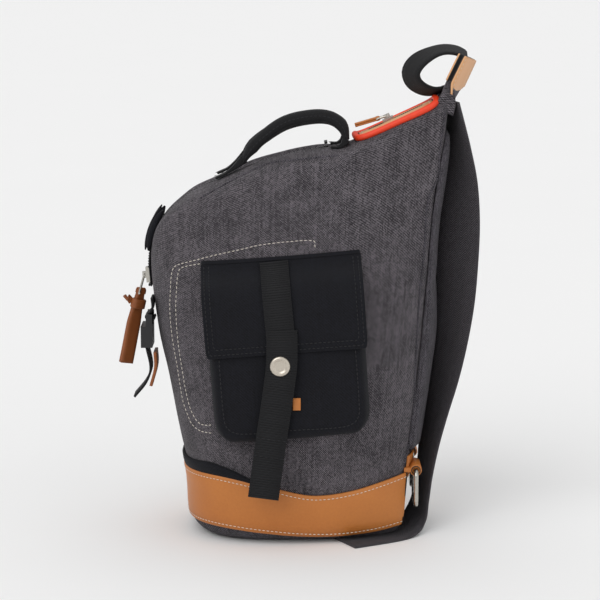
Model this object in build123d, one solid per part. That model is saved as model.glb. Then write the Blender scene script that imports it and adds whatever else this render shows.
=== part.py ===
"""Soft sling bag in melange canvas on a leather-banded base, with a flap pocket, zips, handles and sling strap.

Row frame, millimetres: +Z is up, the floor is Z = 0, the bag's front (the zip side) is -X, its back (the
wearer's side, with the peak and the sling strap) is +X, and the flap pocket is on the -Y side.
Soft pieces are plain closed solids of the right size and place.
"""

from build123d import *
from math import atan2, cos, degrees, hypot, radians, sin
import os

# ---------------------------------------------------------------- driving dimensions
# Body levels: height, front, seam, back bulge past the seam, half thickness, half width at the seam.
LEVELS = [
    (0.0, -77.0, 74.0, 3.0, 52.0, 34.0),
    (9.0, -86.0, 79.0, 4.0, 63.0, 40.0),
    (45.0, -89.0, 82.0, 5.0, 68.0, 42.0),
    (85.0, -97.5, 85.5, 8.0, 73.5, 44.0),
    (125.0, -104.5, 90.0, 9.0, 75.0, 44.0),
    (165.0, -113.0, 94.5, 9.0, 73.0, 43.0),
    (212.0, -118.5, 99.0, 2.5, 67.0, 40.0),
    (250.0, -121.0, 102.0, 1.5, 57.0, 36.0),
    (285.0, -121.0, 107.0, 2.0, 43.0, 30.0),
    (312.0, -118.0, 111.5, 2.0, 34.0, 26.0),
    (350.0, -112.0, 116.0, 2.0, 22.0, 18.0),
]
WIDEST_X = -15.0  # where a section is thickest
FRONT_POWER = 2.6  # superellipse power of a section's front half
REAR_POWER = 2.6  # power of the run from the widest point to the back seam

CANVAS = 1.8  # canvas wall
LINING = 0.8  # lining wall
GAP = 0.3  # free space between a soft piece and what it lies on
FOAM = 5.0  # back foam

# Top line of the body in the XZ plane: front arc, straight run, saddle, slope, peak.
ARC_X, ARC_Z, ARC_R = -31.5, 212.0, 87.0
ARC_END_DEG = 98.0
SADDLE = (38.0, 311.0)
SLOPE_END = (110.0, 344.0)
PEAK_BASE = (119.0, 348.0)

BASE_HEIGHT = 9.0  # base tray up to the leather band
BASE_PLATE = 5.0
BOARD = 2.5  # stiffener in the base

BAND_HEIGHT = 37.0
BAND_THICK = 2.2
BAND_END_X = 80.0

# Main zip
ZIP_HALF = 10.9  # half width of the tape pair
TAPE_THICK = 1.0
TEETH_HALF = 2.4
TEETH_RISE = 1.2
ZIP_START_DEG = 190.0
ZIP_END_X = 22.0
ZIP_OPEN_HALF = 6.0  # half width of the slot in canvas and lining
SLIDER_DEG = 184.5  # where the slider stands on the front arc
SLIDER_END_DEG = 101.0
SLIDER_LENGTH, SLIDER_WIDTH = 12.0, 9.0
BAIL_RISE = 3.0
BAIL_HALF = 1.8
BAIL_PIN = 1.6  # height of the pin above the slider's cover
SLIDER_COVER = 1.6
SLIDER_AIR = 0.35  # running clearance of a slider on its teeth
PIN_R = 0.8  # wire of the pull's link
PIN_AIR = 0.3
LINK_LENGTH, LINK_WIDTH = 15.0, 9.0
PULL_LENGTH, PULL_TOP_WIDTH, PULL_LOW_WIDTH, PULL_THICK = 62.0, 8.0, 13.0, 4.0
PULL_LEAN_DEG = 15.5  # lean of the leather pull away from the bag

# Top pocket: leather frame, piping, zip
FRAME_HALF = 18.0
FRAME_THICK = 2.0
FRAME_START, FRAME_END = 10.0, 74.0  # along the slope from the saddle
PIPING_R = 2.6
SLIT_HALF = 5.0
SLIT_MARGIN = 8.0
TOP_TEETH_HALF = 1.8
TOP_SLIDER_AT = 36.0  # along the slope
TOP_PULL_LENGTH, TOP_PULL_WIDTH = 21.0, 7.0
TOP_PULL_LEAN_DEG = 8.0
POUCH_DEPTH = 38.0
POUCH_LENGTH = 34.0
POUCH_HALF = 10.0
POUCH_WALL = 0.8

# Handles
HANDLE_Y = 17.5
HANDLE_ROOT = (-42.5, 300.9)  # front end of the hinge line
HANDLE_SPAN = 78.0
HANDLE_DEG = 9.0  # slope of the hinge line
GRIP_WIDTH, GRIP_HEIGHT = 11.0, 11.0
FAR_LEAN_DEG = 30.0
FOOT_WIDTH, WEBBING = 11.0, 1.6

# Peak: tongue, leather patches, haul loop
PEAK_LEAN_DEG = 16.0
TONGUE_THICK, TONGUE_HALF, TONGUE_TOP = 4.0, 16.0, 28.0
PATCH_THICK = 1.6
PATCH_HALF = 19.0
LOOP_THICK, LOOP_WIDTH = 2.0, 24.0
LOOP_CENTRE, LOOP_LONG, LOOP_SHORT, LOOP_TURN_DEG = (99.0, 366.0), 17.5, 16.0, 0.0

# Sling strap: near edge and far edge come from a centre and a width direction at each station.
STRAP_WIDTH, STRAP_THICK = 38.0, 2.0

# Side pocket, in a frame turned by POCKET_TURN_DEG about Y
POCKET_TURN_DEG = 4.2
POCKET_X, POCKET_Z = -10.0, 158.0
POCKET_WIDTH, POCKET_BOTTOM, POCKET_TOP = 121.0, -70.0, 42.0
POCKET_FRONT_Y = -84.0
POCKET_WALL = 1.8
POCKET_BACK = 1.2
POCKET_CORNER = 16.0
FLAP_WIDTH, FLAP_TOP, FLAP_SHOULDER, FLAP_LOW = 124.0, 68.0, 44.0, 0.0
FLAP_THICK = 1.6
FLAP_AIR = 1.2  # between the flap and the pocket front
FLAP_HINGE_Y = -66.5
TAB_WIDTH, TAB_THICK = 25.0, 1.6
TAB_TOP_Z, TAB_LOW_Z = 172.0, 45.0
TAB_X = -14.0
TAB_LEAN_DEG = 6.2
SNAP_X, SNAP_Z = -15.5, 148.0
SNAP_R, SNAP_CAP = 8.0, 2.6

# Rings at the back corners
RING_BAR_Z = 55.0
RING_Y = 32.0
RING_STAND = 8.7  # from the back seam to the ring's bar
RING_WIRE_R = 1.75
RING_WIDTH, RING_HEIGHT = 34.0, 28.0
TAB_LEATHER = 2.0
RING_TAB_WIDTH = 25.0

# Front strap
FRONT_Y = -24.0
FRONT_WIDTH = 20.0
FRONT_TOP_Z, FRONT_PIVOT_Z = 192.0, 176.0
FRONT_STAND = 4.2
FRONT_BAR_R = 1.2


# ---------------------------------------------------------------- shared helpers
def level_at(z):
    """The body's section values at height z, on straight runs between levels."""
    below = [row for row in LEVELS if row[0] <= z][-1]
    above = [row for row in LEVELS if row[0] >= z][0]
    if above[0] == below[0]:
        return below
    share = (z - below[0]) / (above[0] - below[0])
    return tuple(a + (b - a) * share for a, b in zip(below, above))


def near_side_y(x, z):
    """How far the body's side stands from the middle plane at (x, z)."""
    _, front, seam, _, half, seam_half = level_at(z)
    if x < WIDEST_X:
        share = min(1.0, (x - WIDEST_X) / (front - WIDEST_X))
        return half * (1 - share**FRONT_POWER) ** (1 / FRONT_POWER)
    share = (x - WIDEST_X) / (seam - WIDEST_X)
    return half - (half - seam_half) * share**REAR_POWER


def section(row, grow, back_grow):
    """One D-shaped level of the body, grown outwards by grow, and by back_grow at the back."""
    z, front, seam, bulge, half, seam_half = row
    front, half, seam_half = front - grow, half + grow, seam_half + grow
    seam, back = seam + back_grow, seam + bulge + back_grow
    side = []
    for turn in (84, 72, 60, 48, 36, 24, 12):
        x = WIDEST_X + (front - WIDEST_X) * sin(radians(turn)) ** (2 / FRONT_POWER)
        side.append((x, half * cos(radians(turn)) ** (2 / FRONT_POWER)))
    for share in (0.0, 0.3, 0.55, 0.75, 0.9, 1.0):
        y = half - (half - seam_half) * share**REAR_POWER
        side.append((WIDEST_X + (seam - WIDEST_X) * share, y))
    for share in (0.7, 0.35):
        side.append((seam + (back - seam) * (1 - share**2), seam_half * share))
    outline = [(front, 0.0)] + side + [(back, 0.0)] + [(x, -y) for x, y in reversed(side)]
    with BuildSketch(Plane.XY.offset(z)) as made:
        with BuildLine():
            Polyline(*outline, close=True)
        make_face()
    return made.sketch


def body_loft(grow=0.0, back_grow=None, top=400.0):
    """The body's side walls as one solid up to the first level at or above top, before the top line cuts it."""
    back = grow if back_grow is None else back_grow
    below = [row for row in LEVELS if row[0] < top]
    rows = LEVELS[: len(below) + 1]
    return loft([section(row, grow, back) for row in rows], ruled=True)


def arc_point(turn, radius):
    """A point of the front arc's circle in the XZ plane."""
    return (ARC_X + radius * cos(radians(turn)), ARC_Z + radius * sin(radians(turn)))


def along(start, end, distance):
    """The point at a distance from start towards end, both in the XZ plane."""
    run = hypot(end[0] - start[0], end[1] - start[1])
    share = distance / run
    return (start[0] + (end[0] - start[0]) * share, start[1] + (end[1] - start[1]) * share)


SLOPE_DEG = degrees(atan2(SLOPE_END[1] - SADDLE[1], SLOPE_END[0] - SADDLE[0]))


def top_prism(grow, low_y, high_y):
    """Everything under the top line, grown by grow, from low_y to high_y."""
    radius = ARC_R + grow
    start, end = arc_point(180, radius), arc_point(ARC_END_DEG, radius)
    saddle = (SADDLE[0] - grow * sin(radians(SLOPE_DEG / 2)), SADDLE[1] + grow)
    slope_end = (SLOPE_END[0] - grow * sin(radians(SLOPE_DEG)), SLOPE_END[1] + grow)
    peak = (PEAK_BASE[0], PEAK_BASE[1] + grow)
    with BuildSketch(Plane.XZ.offset(-low_y)) as made:
        with BuildLine():
            ThreePointArc(start, arc_point((180 + ARC_END_DEG) / 2, radius), end)
            Polyline(end, saddle, slope_end, peak, (150, peak[1]), (150, -40), (-160, -40), (-160, ARC_Z), start)
        make_face()
    return extrude(made.sketch, amount=-(high_y - low_y))


def block(low, high):
    """A box between two corners."""
    size = [b - a for a, b in zip(low, high)]
    return Pos(*low) * Box(*size, align=(Align.MIN, Align.MIN, Align.MIN))


def body_outer(grow, back_grow=None):
    """The closed outer shape of the body grown by grow."""
    return body_loft(grow, back_grow) & top_prism(grow, -120, 120)


def slope_frame(distance, height=0.0):
    """A plane on the slope: X along the slope, Z out of it, at a distance from the saddle."""
    x, z = along(SADDLE, SLOPE_END, distance)
    lift = (-sin(radians(SLOPE_DEG)) * height, cos(radians(SLOPE_DEG)) * height)
    return Location((x + lift[0], 0, z + lift[1]), (0, -SLOPE_DEG, 0))


nodes = {}


# ---------------------------------------------------------------- shapes used by several pieces
def y_prism(points, low_y, high_y):
    """A flat outline in the XZ plane extruded along Y."""
    with BuildSketch(Plane.XZ.offset(-low_y)) as made:
        with BuildLine():
            Polyline(*points, close=True)
        make_face()
    return extrude(made.sketch, amount=-(high_y - low_y))


def arc_strip(low, high, start_deg, end_deg, low_y, high_y):
    """A strip on the front arc between two heights above it."""
    inner, outer = ARC_R + low, ARC_R + high
    middle = (start_deg + end_deg) / 2
    with BuildSketch(Plane.XZ.offset(-low_y)) as made:
        with BuildLine():
            ThreePointArc(arc_point(start_deg, inner), arc_point(middle, inner), arc_point(end_deg, inner))
            Line(arc_point(end_deg, inner), arc_point(end_deg, outer))
            ThreePointArc(arc_point(end_deg, outer), arc_point(middle, outer), arc_point(start_deg, outer))
            Line(arc_point(start_deg, outer), arc_point(start_deg, inner))
        make_face()
    return extrude(made.sketch, amount=-(high_y - low_y))


RUN_START = arc_point(ARC_END_DEG, ARC_R)
RUN_DEG = degrees(atan2(SADDLE[1] - RUN_START[1], SADDLE[0] - RUN_START[0]))


def run_strip(low, high, end_x, low_y, high_y, start_x=None):
    """A strip on the straight run behind the front arc."""
    first = RUN_START[0] if start_x is None else start_x
    slope = (SADDLE[1] - RUN_START[1]) / (SADDLE[0] - RUN_START[0])
    up = (-sin(radians(RUN_DEG)), cos(radians(RUN_DEG)))
    ends = [(x, RUN_START[1] + (x - RUN_START[0]) * slope) for x in (first, end_x)]
    (ax, az), (bx, bz) = ends
    outline = [(ax + up[0] * low, az + up[1] * low), (bx + up[0] * low, bz + up[1] * low),
               (bx + up[0] * high, bz + up[1] * high), (ax + up[0] * high, az + up[1] * high)]
    return y_prism(outline, low_y, high_y)


def zip_strip(low, high, low_y, high_y, end_x=ZIP_END_X, start_deg=ZIP_START_DEG):
    """A strip over the whole main zip: front arc, then straight run."""
    front = arc_strip(low, high, start_deg, ARC_END_DEG, low_y, high_y)
    return front + run_strip(low, high, end_x, low_y, high_y, RUN_START[0] - 0.4)


def slope_block(start, end, low, high, low_y, high_y):
    """A block on the slope between two distances from the saddle and two heights above it."""
    centre = ((end - start) / 2, (low_y + high_y) / 2, (low + high) / 2)
    return slope_frame(start) * Pos(*centre) * Box(end - start, high_y - low_y, high - low)


def skin(low, high, low_x, high_x, low_z, high_z):
    """The part of a layer between two growths of the body that lies inside a box."""
    layer = body_loft(high, top=high_z) - body_loft(low, top=high_z)
    return layer & block((low_x, -130, low_z), (high_x, 130, high_z))


# ---------------------------------------------------------------- body, lining, base
SHELL_FOOT = BASE_HEIGHT + GAP
ZIP_SLOT = zip_strip(-12, 3, -ZIP_OPEN_HALF, ZIP_OPEN_HALF, ZIP_END_X - 8, ZIP_START_DEG - 3)
SLIT_SLOT = slope_block(FRAME_START + SLIT_MARGIN, FRAME_END - SLIT_MARGIN, -12, 3, -SLIT_HALF, SLIT_HALF)

outer = body_outer(0.0)
inner = body_outer(-CANVAS)
lining_outer = body_outer(-CANVAS - GAP)
lining_inner = body_outer(-CANVAS - GAP - LINING)
above_base = block((-160, -130, SHELL_FOOT), (160, 130, 420))

shell = ((outer - inner) & above_base) - ZIP_SLOT - SLIT_SLOT
GUSSET_HALF = 38.0  # half width of the panel that runs over the front, the top and the back
BACK_LOW_X, BACK_LOW_Z = 62.0, 66.0  # the lower back panel stands behind and below these
gusset = shell & block((-160, -GUSSET_HALF, -10), (160, GUSSET_HALF, 420))
nodes["shell_gusset"] = gusset - block((BACK_LOW_X, -130, -10), (160, 130, BACK_LOW_Z))
nodes["shell_back_low"] = gusset & block((BACK_LOW_X + 0.1, -130, -10), (160, 130, BACK_LOW_Z - 0.1))
nodes["shell_side_near"] = shell & block((-160, -130, -10), (160, -GUSSET_HALF - 0.1, 420))
nodes["shell_side_far"] = shell & block((-160, GUSSET_HALF + 0.1, -10), (160, 130, 420))

LINING_FOOT = BASE_PLATE + GAP + BOARD + GAP
above_board = block((-160, -130, LINING_FOOT), (160, 130, 420))
nodes["body_lining"] = ((lining_outer & above_board) - (lining_inner & block((-160, -130, LINING_FOOT + LINING), (160, 130, 420))))
nodes["body_lining"] = nodes["body_lining"] - ZIP_SLOT - SLIT_SLOT

# The strap's foot lies on the floor under the near edge of the base.
STRAP_REST = 0.02


def strap_station(centre, turn_deg, tilt_deg, grow=0.0):
    """A cross-section of the strap: centre, turn of its width about Z from -Y, and lean of its face."""
    turn, tilt = radians(turn_deg), radians(tilt_deg)
    width = Vector(sin(turn), -cos(turn), 0) * (STRAP_WIDTH / 2 + grow)
    normal = Vector(cos(turn) * cos(tilt), sin(turn) * cos(tilt), sin(tilt)) * (STRAP_THICK / 2 + grow * 0.5)
    middle = Vector(*centre)
    corners = [middle + width + normal, middle - width + normal, middle - width - normal, middle + width - normal]
    return Face(Wire.make_polygon(corners, close=True))


# Stations of the sling strap from the peak to the floor: x, y, z, turn, tilt.
STRAP_STATIONS = [
    (121.8, 0.0, 341.0, 0.0, 16.0),
    (126.6, 0.0, 322.0, 10.0, 12.0),
    (129.5, 0.0, 304.0, 26.0, 6.0),
    (129.8, 0.0, 278.0, 42.0, 0.0),
    (128.5, 0.0, 246.0, 52.0, -3.0),
    (127.0, 0.0, 216.0, 54.0, -3.0),
    (126.0, 0.0, 184.0, 48.0, -6.0),
    (122.0, 0.0, 151.0, 38.0, -9.0),
    (116.5, 0.0, 122.0, 31.0, -10.0),
    (110.5, -1.0, 96.0, 24.0, -10.0),
    (105.0, -3.0, 70.0, 19.0, -8.0),
    (101.5, -6.0, 44.0, 14.0, -6.0),
    (99.6, -9.5, 26.0, 14.0, -14.0),
    (96.5, -14.0, 12.0, 19.0, -38.0),
    (90.5, -21.0, 4.2, 25.0, -66.0),
    (80.0, -32.5, STRAP_THICK / 2 + STRAP_REST, 27.0, -90.0),
    (66.0, -42.0, STRAP_THICK / 2 + STRAP_REST, 27.0, -90.0),
    (34.0, -59.0, STRAP_THICK / 2 + STRAP_REST, 27.0, -90.0),
]
faces = [strap_station((x, y, z), turn, tilt) for x, y, z, turn, tilt in STRAP_STATIONS]
nodes["sling_strap"] = Solid.make_loft([face.outer_wire() for face in faces], ruled=True)

strap_clear = Solid.make_loft([strap_station((x, y, z), turn, tilt, 1.0).outer_wire() for x, y, z, turn, tilt in
                               STRAP_STATIONS[-8:]], ruled=True)
tray = body_loft() & block((-160, -130, 0), (160, 130, BASE_HEIGHT))
hollow = body_loft(-CANVAS) & block((-160, -130, BASE_PLATE), (160, 130, BASE_HEIGHT + 1))
nodes["base_panel"] = tray - hollow - strap_clear
board = body_loft(-CANVAS - GAP) & block((-160, -130, BASE_PLATE), (160, 130, BASE_PLATE + BOARD))
nodes["base_board"] = board

# ---------------------------------------------------------------- leather band and its trim
BAND_LOW = BASE_HEIGHT + GAP
BAND_TOP = BAND_LOW + BAND_HEIGHT
nodes["leather_band"] = skin(GAP, GAP + BAND_THICK, -160, BAND_END_X - 1, BAND_LOW, BAND_TOP)
nodes["band_trim"] = skin(GAP, GAP + 1.4, -160, BAND_END_X - 1, BAND_TOP + GAP, BAND_TOP + GAP + 5)

# ---------------------------------------------------------------- padded back
BACK_LOW, BACK_TOP = 70.0, 322.0
back_space = y_prism([(84.5, BACK_LOW), (140, BACK_LOW), (140, BACK_TOP), (115.0, BACK_TOP), (102.5, 212), (98, 165), (89.5, 90)],
                     -60, 60)
pad = body_loft(GAP, GAP + FOAM) - body_loft(GAP)
for side in (-1, 1):
    pad = pad - block((0, min(side * 38, side * 90), 0), (160, max(side * 38, side * 90), 420))
nodes["back_panel"] = pad & back_space

# ---------------------------------------------------------------- main zip
TAPE_LOW = GAP
TAPE_HIGH = TAPE_LOW + TAPE_THICK
TEETH_HIGH = TAPE_HIGH + TEETH_RISE
TAPE_IN = TEETH_HALF + 0.2
nodes["main_zip_tape_near"] = zip_strip(TAPE_LOW, TAPE_HIGH, -ZIP_HALF, -TAPE_IN)
nodes["main_zip_tape_far"] = zip_strip(TAPE_LOW, TAPE_HIGH, TAPE_IN, ZIP_HALF)
nodes["main_zip_teeth"] = zip_strip(TAPE_LOW, TEETH_HIGH, -TEETH_HALF, TEETH_HALF, ZIP_END_X - 3, ZIP_START_DEG - 1)
nodes["main_zip_stop_front"] = arc_strip(TAPE_HIGH + GAP, TEETH_HIGH + 0.8, ZIP_START_DEG - 0.9, ZIP_START_DEG, -ZIP_HALF + 4, ZIP_HALF - 4)
nodes["main_zip_stop_rear"] = run_strip(TAPE_HIGH + GAP, TEETH_HIGH + 0.8, ZIP_END_X, -ZIP_HALF + 4, ZIP_HALF - 4, ZIP_END_X - 2.5)

GARAGE_HIGH = 7.0  # the folded canvas lips that stand proud beside the zip
nodes["zip_lip_near"] = arc_strip(GAP, GARAGE_HIGH, 170, 148, -ZIP_HALF - 7, -ZIP_HALF - 0.5)
nodes["zip_lip_far"] = arc_strip(GAP, GARAGE_HIGH, 170, 148, ZIP_HALF + 0.5, ZIP_HALF + 7)


def zip_frame(x, z, turn):
    """A zip's frame: X out of the surface at the given angle, Z along the zip towards the front."""
    return Location((x, 0, z), (0, -turn, 0))


def slider_shape(length, width, half, low, high):
    """A zip slider: a cover over the teeth with a leg either side, and a pierced bail."""
    top = high + SLIDER_AIR + SLIDER_COVER
    cover = block((low + SLIDER_AIR, -width / 2, -length / 2), (top, width / 2, length / 2))
    channel = block((low, -half - SLIDER_AIR, -length), (high + SLIDER_AIR, half + SLIDER_AIR, length))
    lug = block((top - 0.5, -BAIL_HALF, -2.6), (top + BAIL_RISE, BAIL_HALF, 2.6))
    eye = Pos(top + BAIL_PIN, 0, 0) * Rot(90, 0, 0) * Cylinder(PIN_R + PIN_AIR, 20)
    return cover + lug - channel - eye


def link_shape(length, width):
    """A closed wire link from its pin, along +Z."""
    half = width / 2
    wire = Rot(90, 0, 0) * Cylinder(PIN_R, width + 2 * PIN_R)
    side = Cylinder(PIN_R, length)
    sides = Pos(0, half, length / 2) * side + Pos(0, -half, length / 2) * side
    return wire + Pos(0, 0, length) * wire + sides


def pull_shape(start, length, top_width, low_width, thick, pin):
    """A folded leather pull along +Z with an eye for the link's lower bar."""
    with BuildSketch(Plane.YZ.offset(-thick / 2)) as made:
        with BuildLine():
            half, low = top_width / 2, low_width / 2
            Polyline((-half, start), (-low, start + length - 3), (-low + 3, start + length), (low - 3, start + length),
                     (low, start + length - 3), (half, start), close=True)
        make_face()
    leather = extrude(made.sketch, amount=thick)
    eye = Pos(0, 0, pin) * Rot(90, 0, 0) * Cylinder(PIN_R + PIN_AIR, 30)
    return leather - eye


main_slider_at = arc_point(SLIDER_DEG, ARC_R)
main_frame = zip_frame(*main_slider_at, SLIDER_DEG)
nodes["main_zip_slider"] = main_frame * slider_shape(SLIDER_LENGTH, SLIDER_WIDTH, TEETH_HALF, TAPE_HIGH, TEETH_HIGH)
MAIN_PIN = TEETH_HIGH + SLIDER_AIR + SLIDER_COVER + BAIL_PIN
pull_place = main_frame * Pos(MAIN_PIN, 0, 0) * Rot(0, PULL_LEAN_DEG + SLIDER_DEG - 180, 0)
nodes["main_pull_link"] = pull_place * link_shape(LINK_LENGTH, LINK_WIDTH)
nodes["main_pull_leather"] = pull_place * pull_shape(LINK_LENGTH - 3.5, PULL_LENGTH, PULL_TOP_WIDTH - 1.0, PULL_LOW_WIDTH,
                                                     PULL_THICK, LINK_LENGTH)
nodes["main_pull_knot"] = pull_place * Pos(0, 0, LINK_LENGTH + 9) * (
    Box(PULL_THICK + 4, PULL_LOW_WIDTH + 1, 7) - Box(PULL_THICK + 0.6, PULL_LOW_WIDTH - 2.4, 9)
)

# ---------------------------------------------------------------- top pocket
FRAME_MID = (FRAME_START + FRAME_END) / 2
FRAME_LENGTH = FRAME_END - FRAME_START


def slope_ring(length, width, corner, low, high, hole_length, hole_width, hole_corner):
    """A rounded plate with a rounded hole, lying on the slope between two heights."""
    with BuildSketch() as made:
        RectangleRounded(length, width, corner)
        RectangleRounded(hole_length, hole_width, hole_corner, mode=Mode.SUBTRACT)
    return slope_frame(FRAME_MID) * Pos(0, 0, low) * extrude(made.sketch, amount=high - low)


FRAME_TOP = GAP + FRAME_THICK
slit_length = FRAME_LENGTH - 2 * SLIT_MARGIN
nodes["top_zip_frame"] = slope_ring(FRAME_LENGTH, 2 * FRAME_HALF, 6, GAP, FRAME_TOP, slit_length, 2 * SLIT_HALF, 3)
grown = 2 * GAP
nodes["top_zip_piping"] = slope_ring(FRAME_LENGTH + grown + 4 * PIPING_R, 2 * FRAME_HALF + grown + 4 * PIPING_R, 6 + 2 * PIPING_R,
                                     GAP, GAP + 2 * PIPING_R, FRAME_LENGTH + grown, 2 * FRAME_HALF + grown, 6 + GAP)
slit_start = FRAME_START + SLIT_MARGIN
slit_end = FRAME_END - SLIT_MARGIN
tape_in = TOP_TEETH_HALF + 0.2
for side, name in ((-1, "near"), (1, "far")):
    low_y, high_y = sorted((side * tape_in, side * (SLIT_HALF - 0.2)))
    nodes["top_zip_tape_" + name] = slope_block(slit_start + 2, slit_end - 2, GAP, GAP + TAPE_THICK, low_y, high_y)
TOP_TEETH_HIGH = GAP + TAPE_THICK + 1.0
nodes["top_zip_teeth"] = slope_block(slit_start + 2, slit_end - 2, GAP, TOP_TEETH_HIGH, -TOP_TEETH_HALF, TOP_TEETH_HALF)

top_at = along(SADDLE, SLOPE_END, TOP_SLIDER_AT)
top_frame = zip_frame(*top_at, 90 + SLOPE_DEG)
nodes["top_zip_slider"] = top_frame * slider_shape(9.0, 7.0, TOP_TEETH_HALF, GAP + TAPE_THICK, TOP_TEETH_HIGH)
TOP_PIN = TOP_TEETH_HIGH + SLIDER_AIR + SLIDER_COVER + BAIL_PIN
top_pull_place = top_frame * Pos(TOP_PIN, 0, 0) * Rot(0, TOP_PULL_LEAN_DEG, 0)
nodes["top_pull_link"] = top_pull_place * link_shape(8.0, 7.0)
nodes["top_pull_leather"] = top_pull_place * pull_shape(5.2, TOP_PULL_LENGTH, 5.0, TOP_PULL_WIDTH, 2.6, 8.0)

pouch_low = -CANVAS - LINING - 3 * GAP
pouch_start, pouch_end = slit_start - 2, slit_start + POUCH_LENGTH
pouch = slope_block(pouch_start, pouch_end, pouch_low - POUCH_DEPTH, pouch_low, -POUCH_HALF, POUCH_HALF)
hollow = slope_block(pouch_start + POUCH_WALL, pouch_end - POUCH_WALL, pouch_low - POUCH_DEPTH + POUCH_WALL,
                     pouch_low + 1, -POUCH_HALF + POUCH_WALL, POUCH_HALF - POUCH_WALL)
nodes["top_pocket_pouch"] = pouch - hollow

# ---------------------------------------------------------------- handles
FOOT_LOW, FOOT_HIGH = GAP, GAP + WEBBING
for side, name in ((-1, "near"), (1, "far")):
    low_y, high_y = sorted((side * (HANDLE_Y - FOOT_WIDTH / 2), side * (HANDLE_Y + FOOT_WIDTH / 2)))
    nodes["handle_foot_front_" + name] = arc_strip(FOOT_LOW, FOOT_HIGH, 112, 98.5, low_y, high_y)
    nodes["handle_foot_rear_" + name] = run_strip(FOOT_LOW, FOOT_HIGH, 37.0, low_y, high_y, 16.0)


def handle_shape(side, lean_deg):
    """A padded grab handle standing over the run, leaning away from the middle by lean_deg."""
    points = [(0.0, 0.0), (5.5, 9.5), (20.0, 20.5), (42.0, 25.5), (62.0, 22.5), (74.5, 11.5), (HANDLE_SPAN, 0.0)]
    with BuildLine() as path:
        Spline(*[(x, 0, z + 2.6) for x, z in points], tangents=[(0.3, 0, 1), (0.1, 0, -1)])
    line = path.line
    with BuildSketch(Plane(origin=line @ 0, z_dir=line % 0, x_dir=(0, 1, 0))) as made:
        RectangleRounded(GRIP_WIDTH, GRIP_HEIGHT, 4)
    grip = sweep(made.sketch, path=line)
    place = Location((HANDLE_ROOT[0], side * HANDLE_Y, HANDLE_ROOT[1]), (0, -HANDLE_DEG, 0))
    return place * Rot(side * -lean_deg, 0, 0) * grip


nodes["handle_near"] = handle_shape(-1, 0.0)
nodes["handle_far"] = handle_shape(1, FAR_LEAN_DEG)

# ---------------------------------------------------------------- peak, haul loop
peak_place = Location((PEAK_BASE[0] - 3.0, 0, PEAK_BASE[1] - 4.0), (0, PEAK_LEAN_DEG, 0))
half = TONGUE_THICK / 2
nodes["peak_tongue"] = peak_place * block((-half, -TONGUE_HALF, 7), (half, TONGUE_HALF, TONGUE_TOP))
nodes["peak_patch_front"] = peak_place * block((-half - GAP - PATCH_THICK, -PATCH_HALF, 8), (-half - GAP, PATCH_HALF, 22))
nodes["peak_patch_back"] = peak_place * block((half + GAP, -PATCH_HALF, 2), (half + GAP + PATCH_THICK, PATCH_HALF, 27))

with BuildSketch(Plane.XZ.offset(LOOP_WIDTH / 2)) as loop_sketch:
    with Locations(LOOP_CENTRE):
        Ellipse(LOOP_LONG, LOOP_SHORT, rotation=LOOP_TURN_DEG)
        Ellipse(LOOP_LONG - LOOP_THICK, LOOP_SHORT - LOOP_THICK, rotation=LOOP_TURN_DEG, mode=Mode.SUBTRACT)
nodes["haul_loop"] = extrude(loop_sketch.sketch, amount=-LOOP_WIDTH)

# ---------------------------------------------------------------- side pocket
pocket_place = Location((POCKET_X, 0, POCKET_Z), (0, -POCKET_TURN_DEG, 0))


def pocket_prism(inset, top, low_y, high_y):
    """The pocket's outline with round lower corners, between two Y values, in the pocket's frame."""
    half = POCKET_WIDTH / 2 - inset
    low = POCKET_BOTTOM + inset
    corner = POCKET_CORNER - inset
    with BuildSketch(Plane.XZ.offset(-low_y)) as made:
        with BuildLine():
            Polyline((-half, low + corner), (-half, top), (half, top), (half, low + corner))
            RadiusArc((half, low + corner), (half - corner, low), corner)
            Line((half - corner, low), (-half + corner, low))
            RadiusArc((-half + corner, low), (-half, low + corner), corner)
        make_face()
    return pocket_place * extrude(made.sketch, amount=-(high_y - low_y))


side_wall = body_loft(GAP)
pocket_solid = pocket_prism(0, POCKET_TOP, POCKET_FRONT_Y, -50) - side_wall
pocket_space = pocket_prism(POCKET_WALL, POCKET_TOP + 20, POCKET_FRONT_Y + POCKET_WALL, -50) - body_loft(GAP + POCKET_BACK)
nodes["pocket_body"] = pocket_solid - pocket_space


def offset_path(points, distance):
    """A flat open path moved sideways by a distance, with mitred corners."""
    moved = []
    for index, (u, v) in enumerate(points):
        before = points[max(index - 1, 0)]
        after = points[min(index + 1, len(points) - 1)]
        runs = [(b[0] - a[0], b[1] - a[1]) for a, b in ((before, (u, v)), ((u, v), after)) if a != b]
        sides = [(-dv / hypot(du, dv), du / hypot(du, dv)) for du, dv in runs]
        mean = (sum(side[0] for side in sides), sum(side[1] for side in sides))
        length = hypot(*mean)
        mean = (mean[0] / length, mean[1] / length)
        stretch = distance / (mean[0] * sides[0][0] + mean[1] * sides[0][1])
        moved.append((u + mean[0] * stretch, v + mean[1] * stretch))
    return moved


def hanging_plate(points, low, high, low_x, high_x):
    """A plate that follows a path in the pocket's YZ plane, between two distances to its outer side."""
    outline = offset_path(points, -low) + offset_path(points, -high)[::-1]
    with BuildSketch(Plane.YZ.offset(low_x)) as made:
        with BuildLine():
            Polyline(*outline, close=True)
        make_face()
    return pocket_place * extrude(made.sketch, amount=high_x - low_x)


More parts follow.
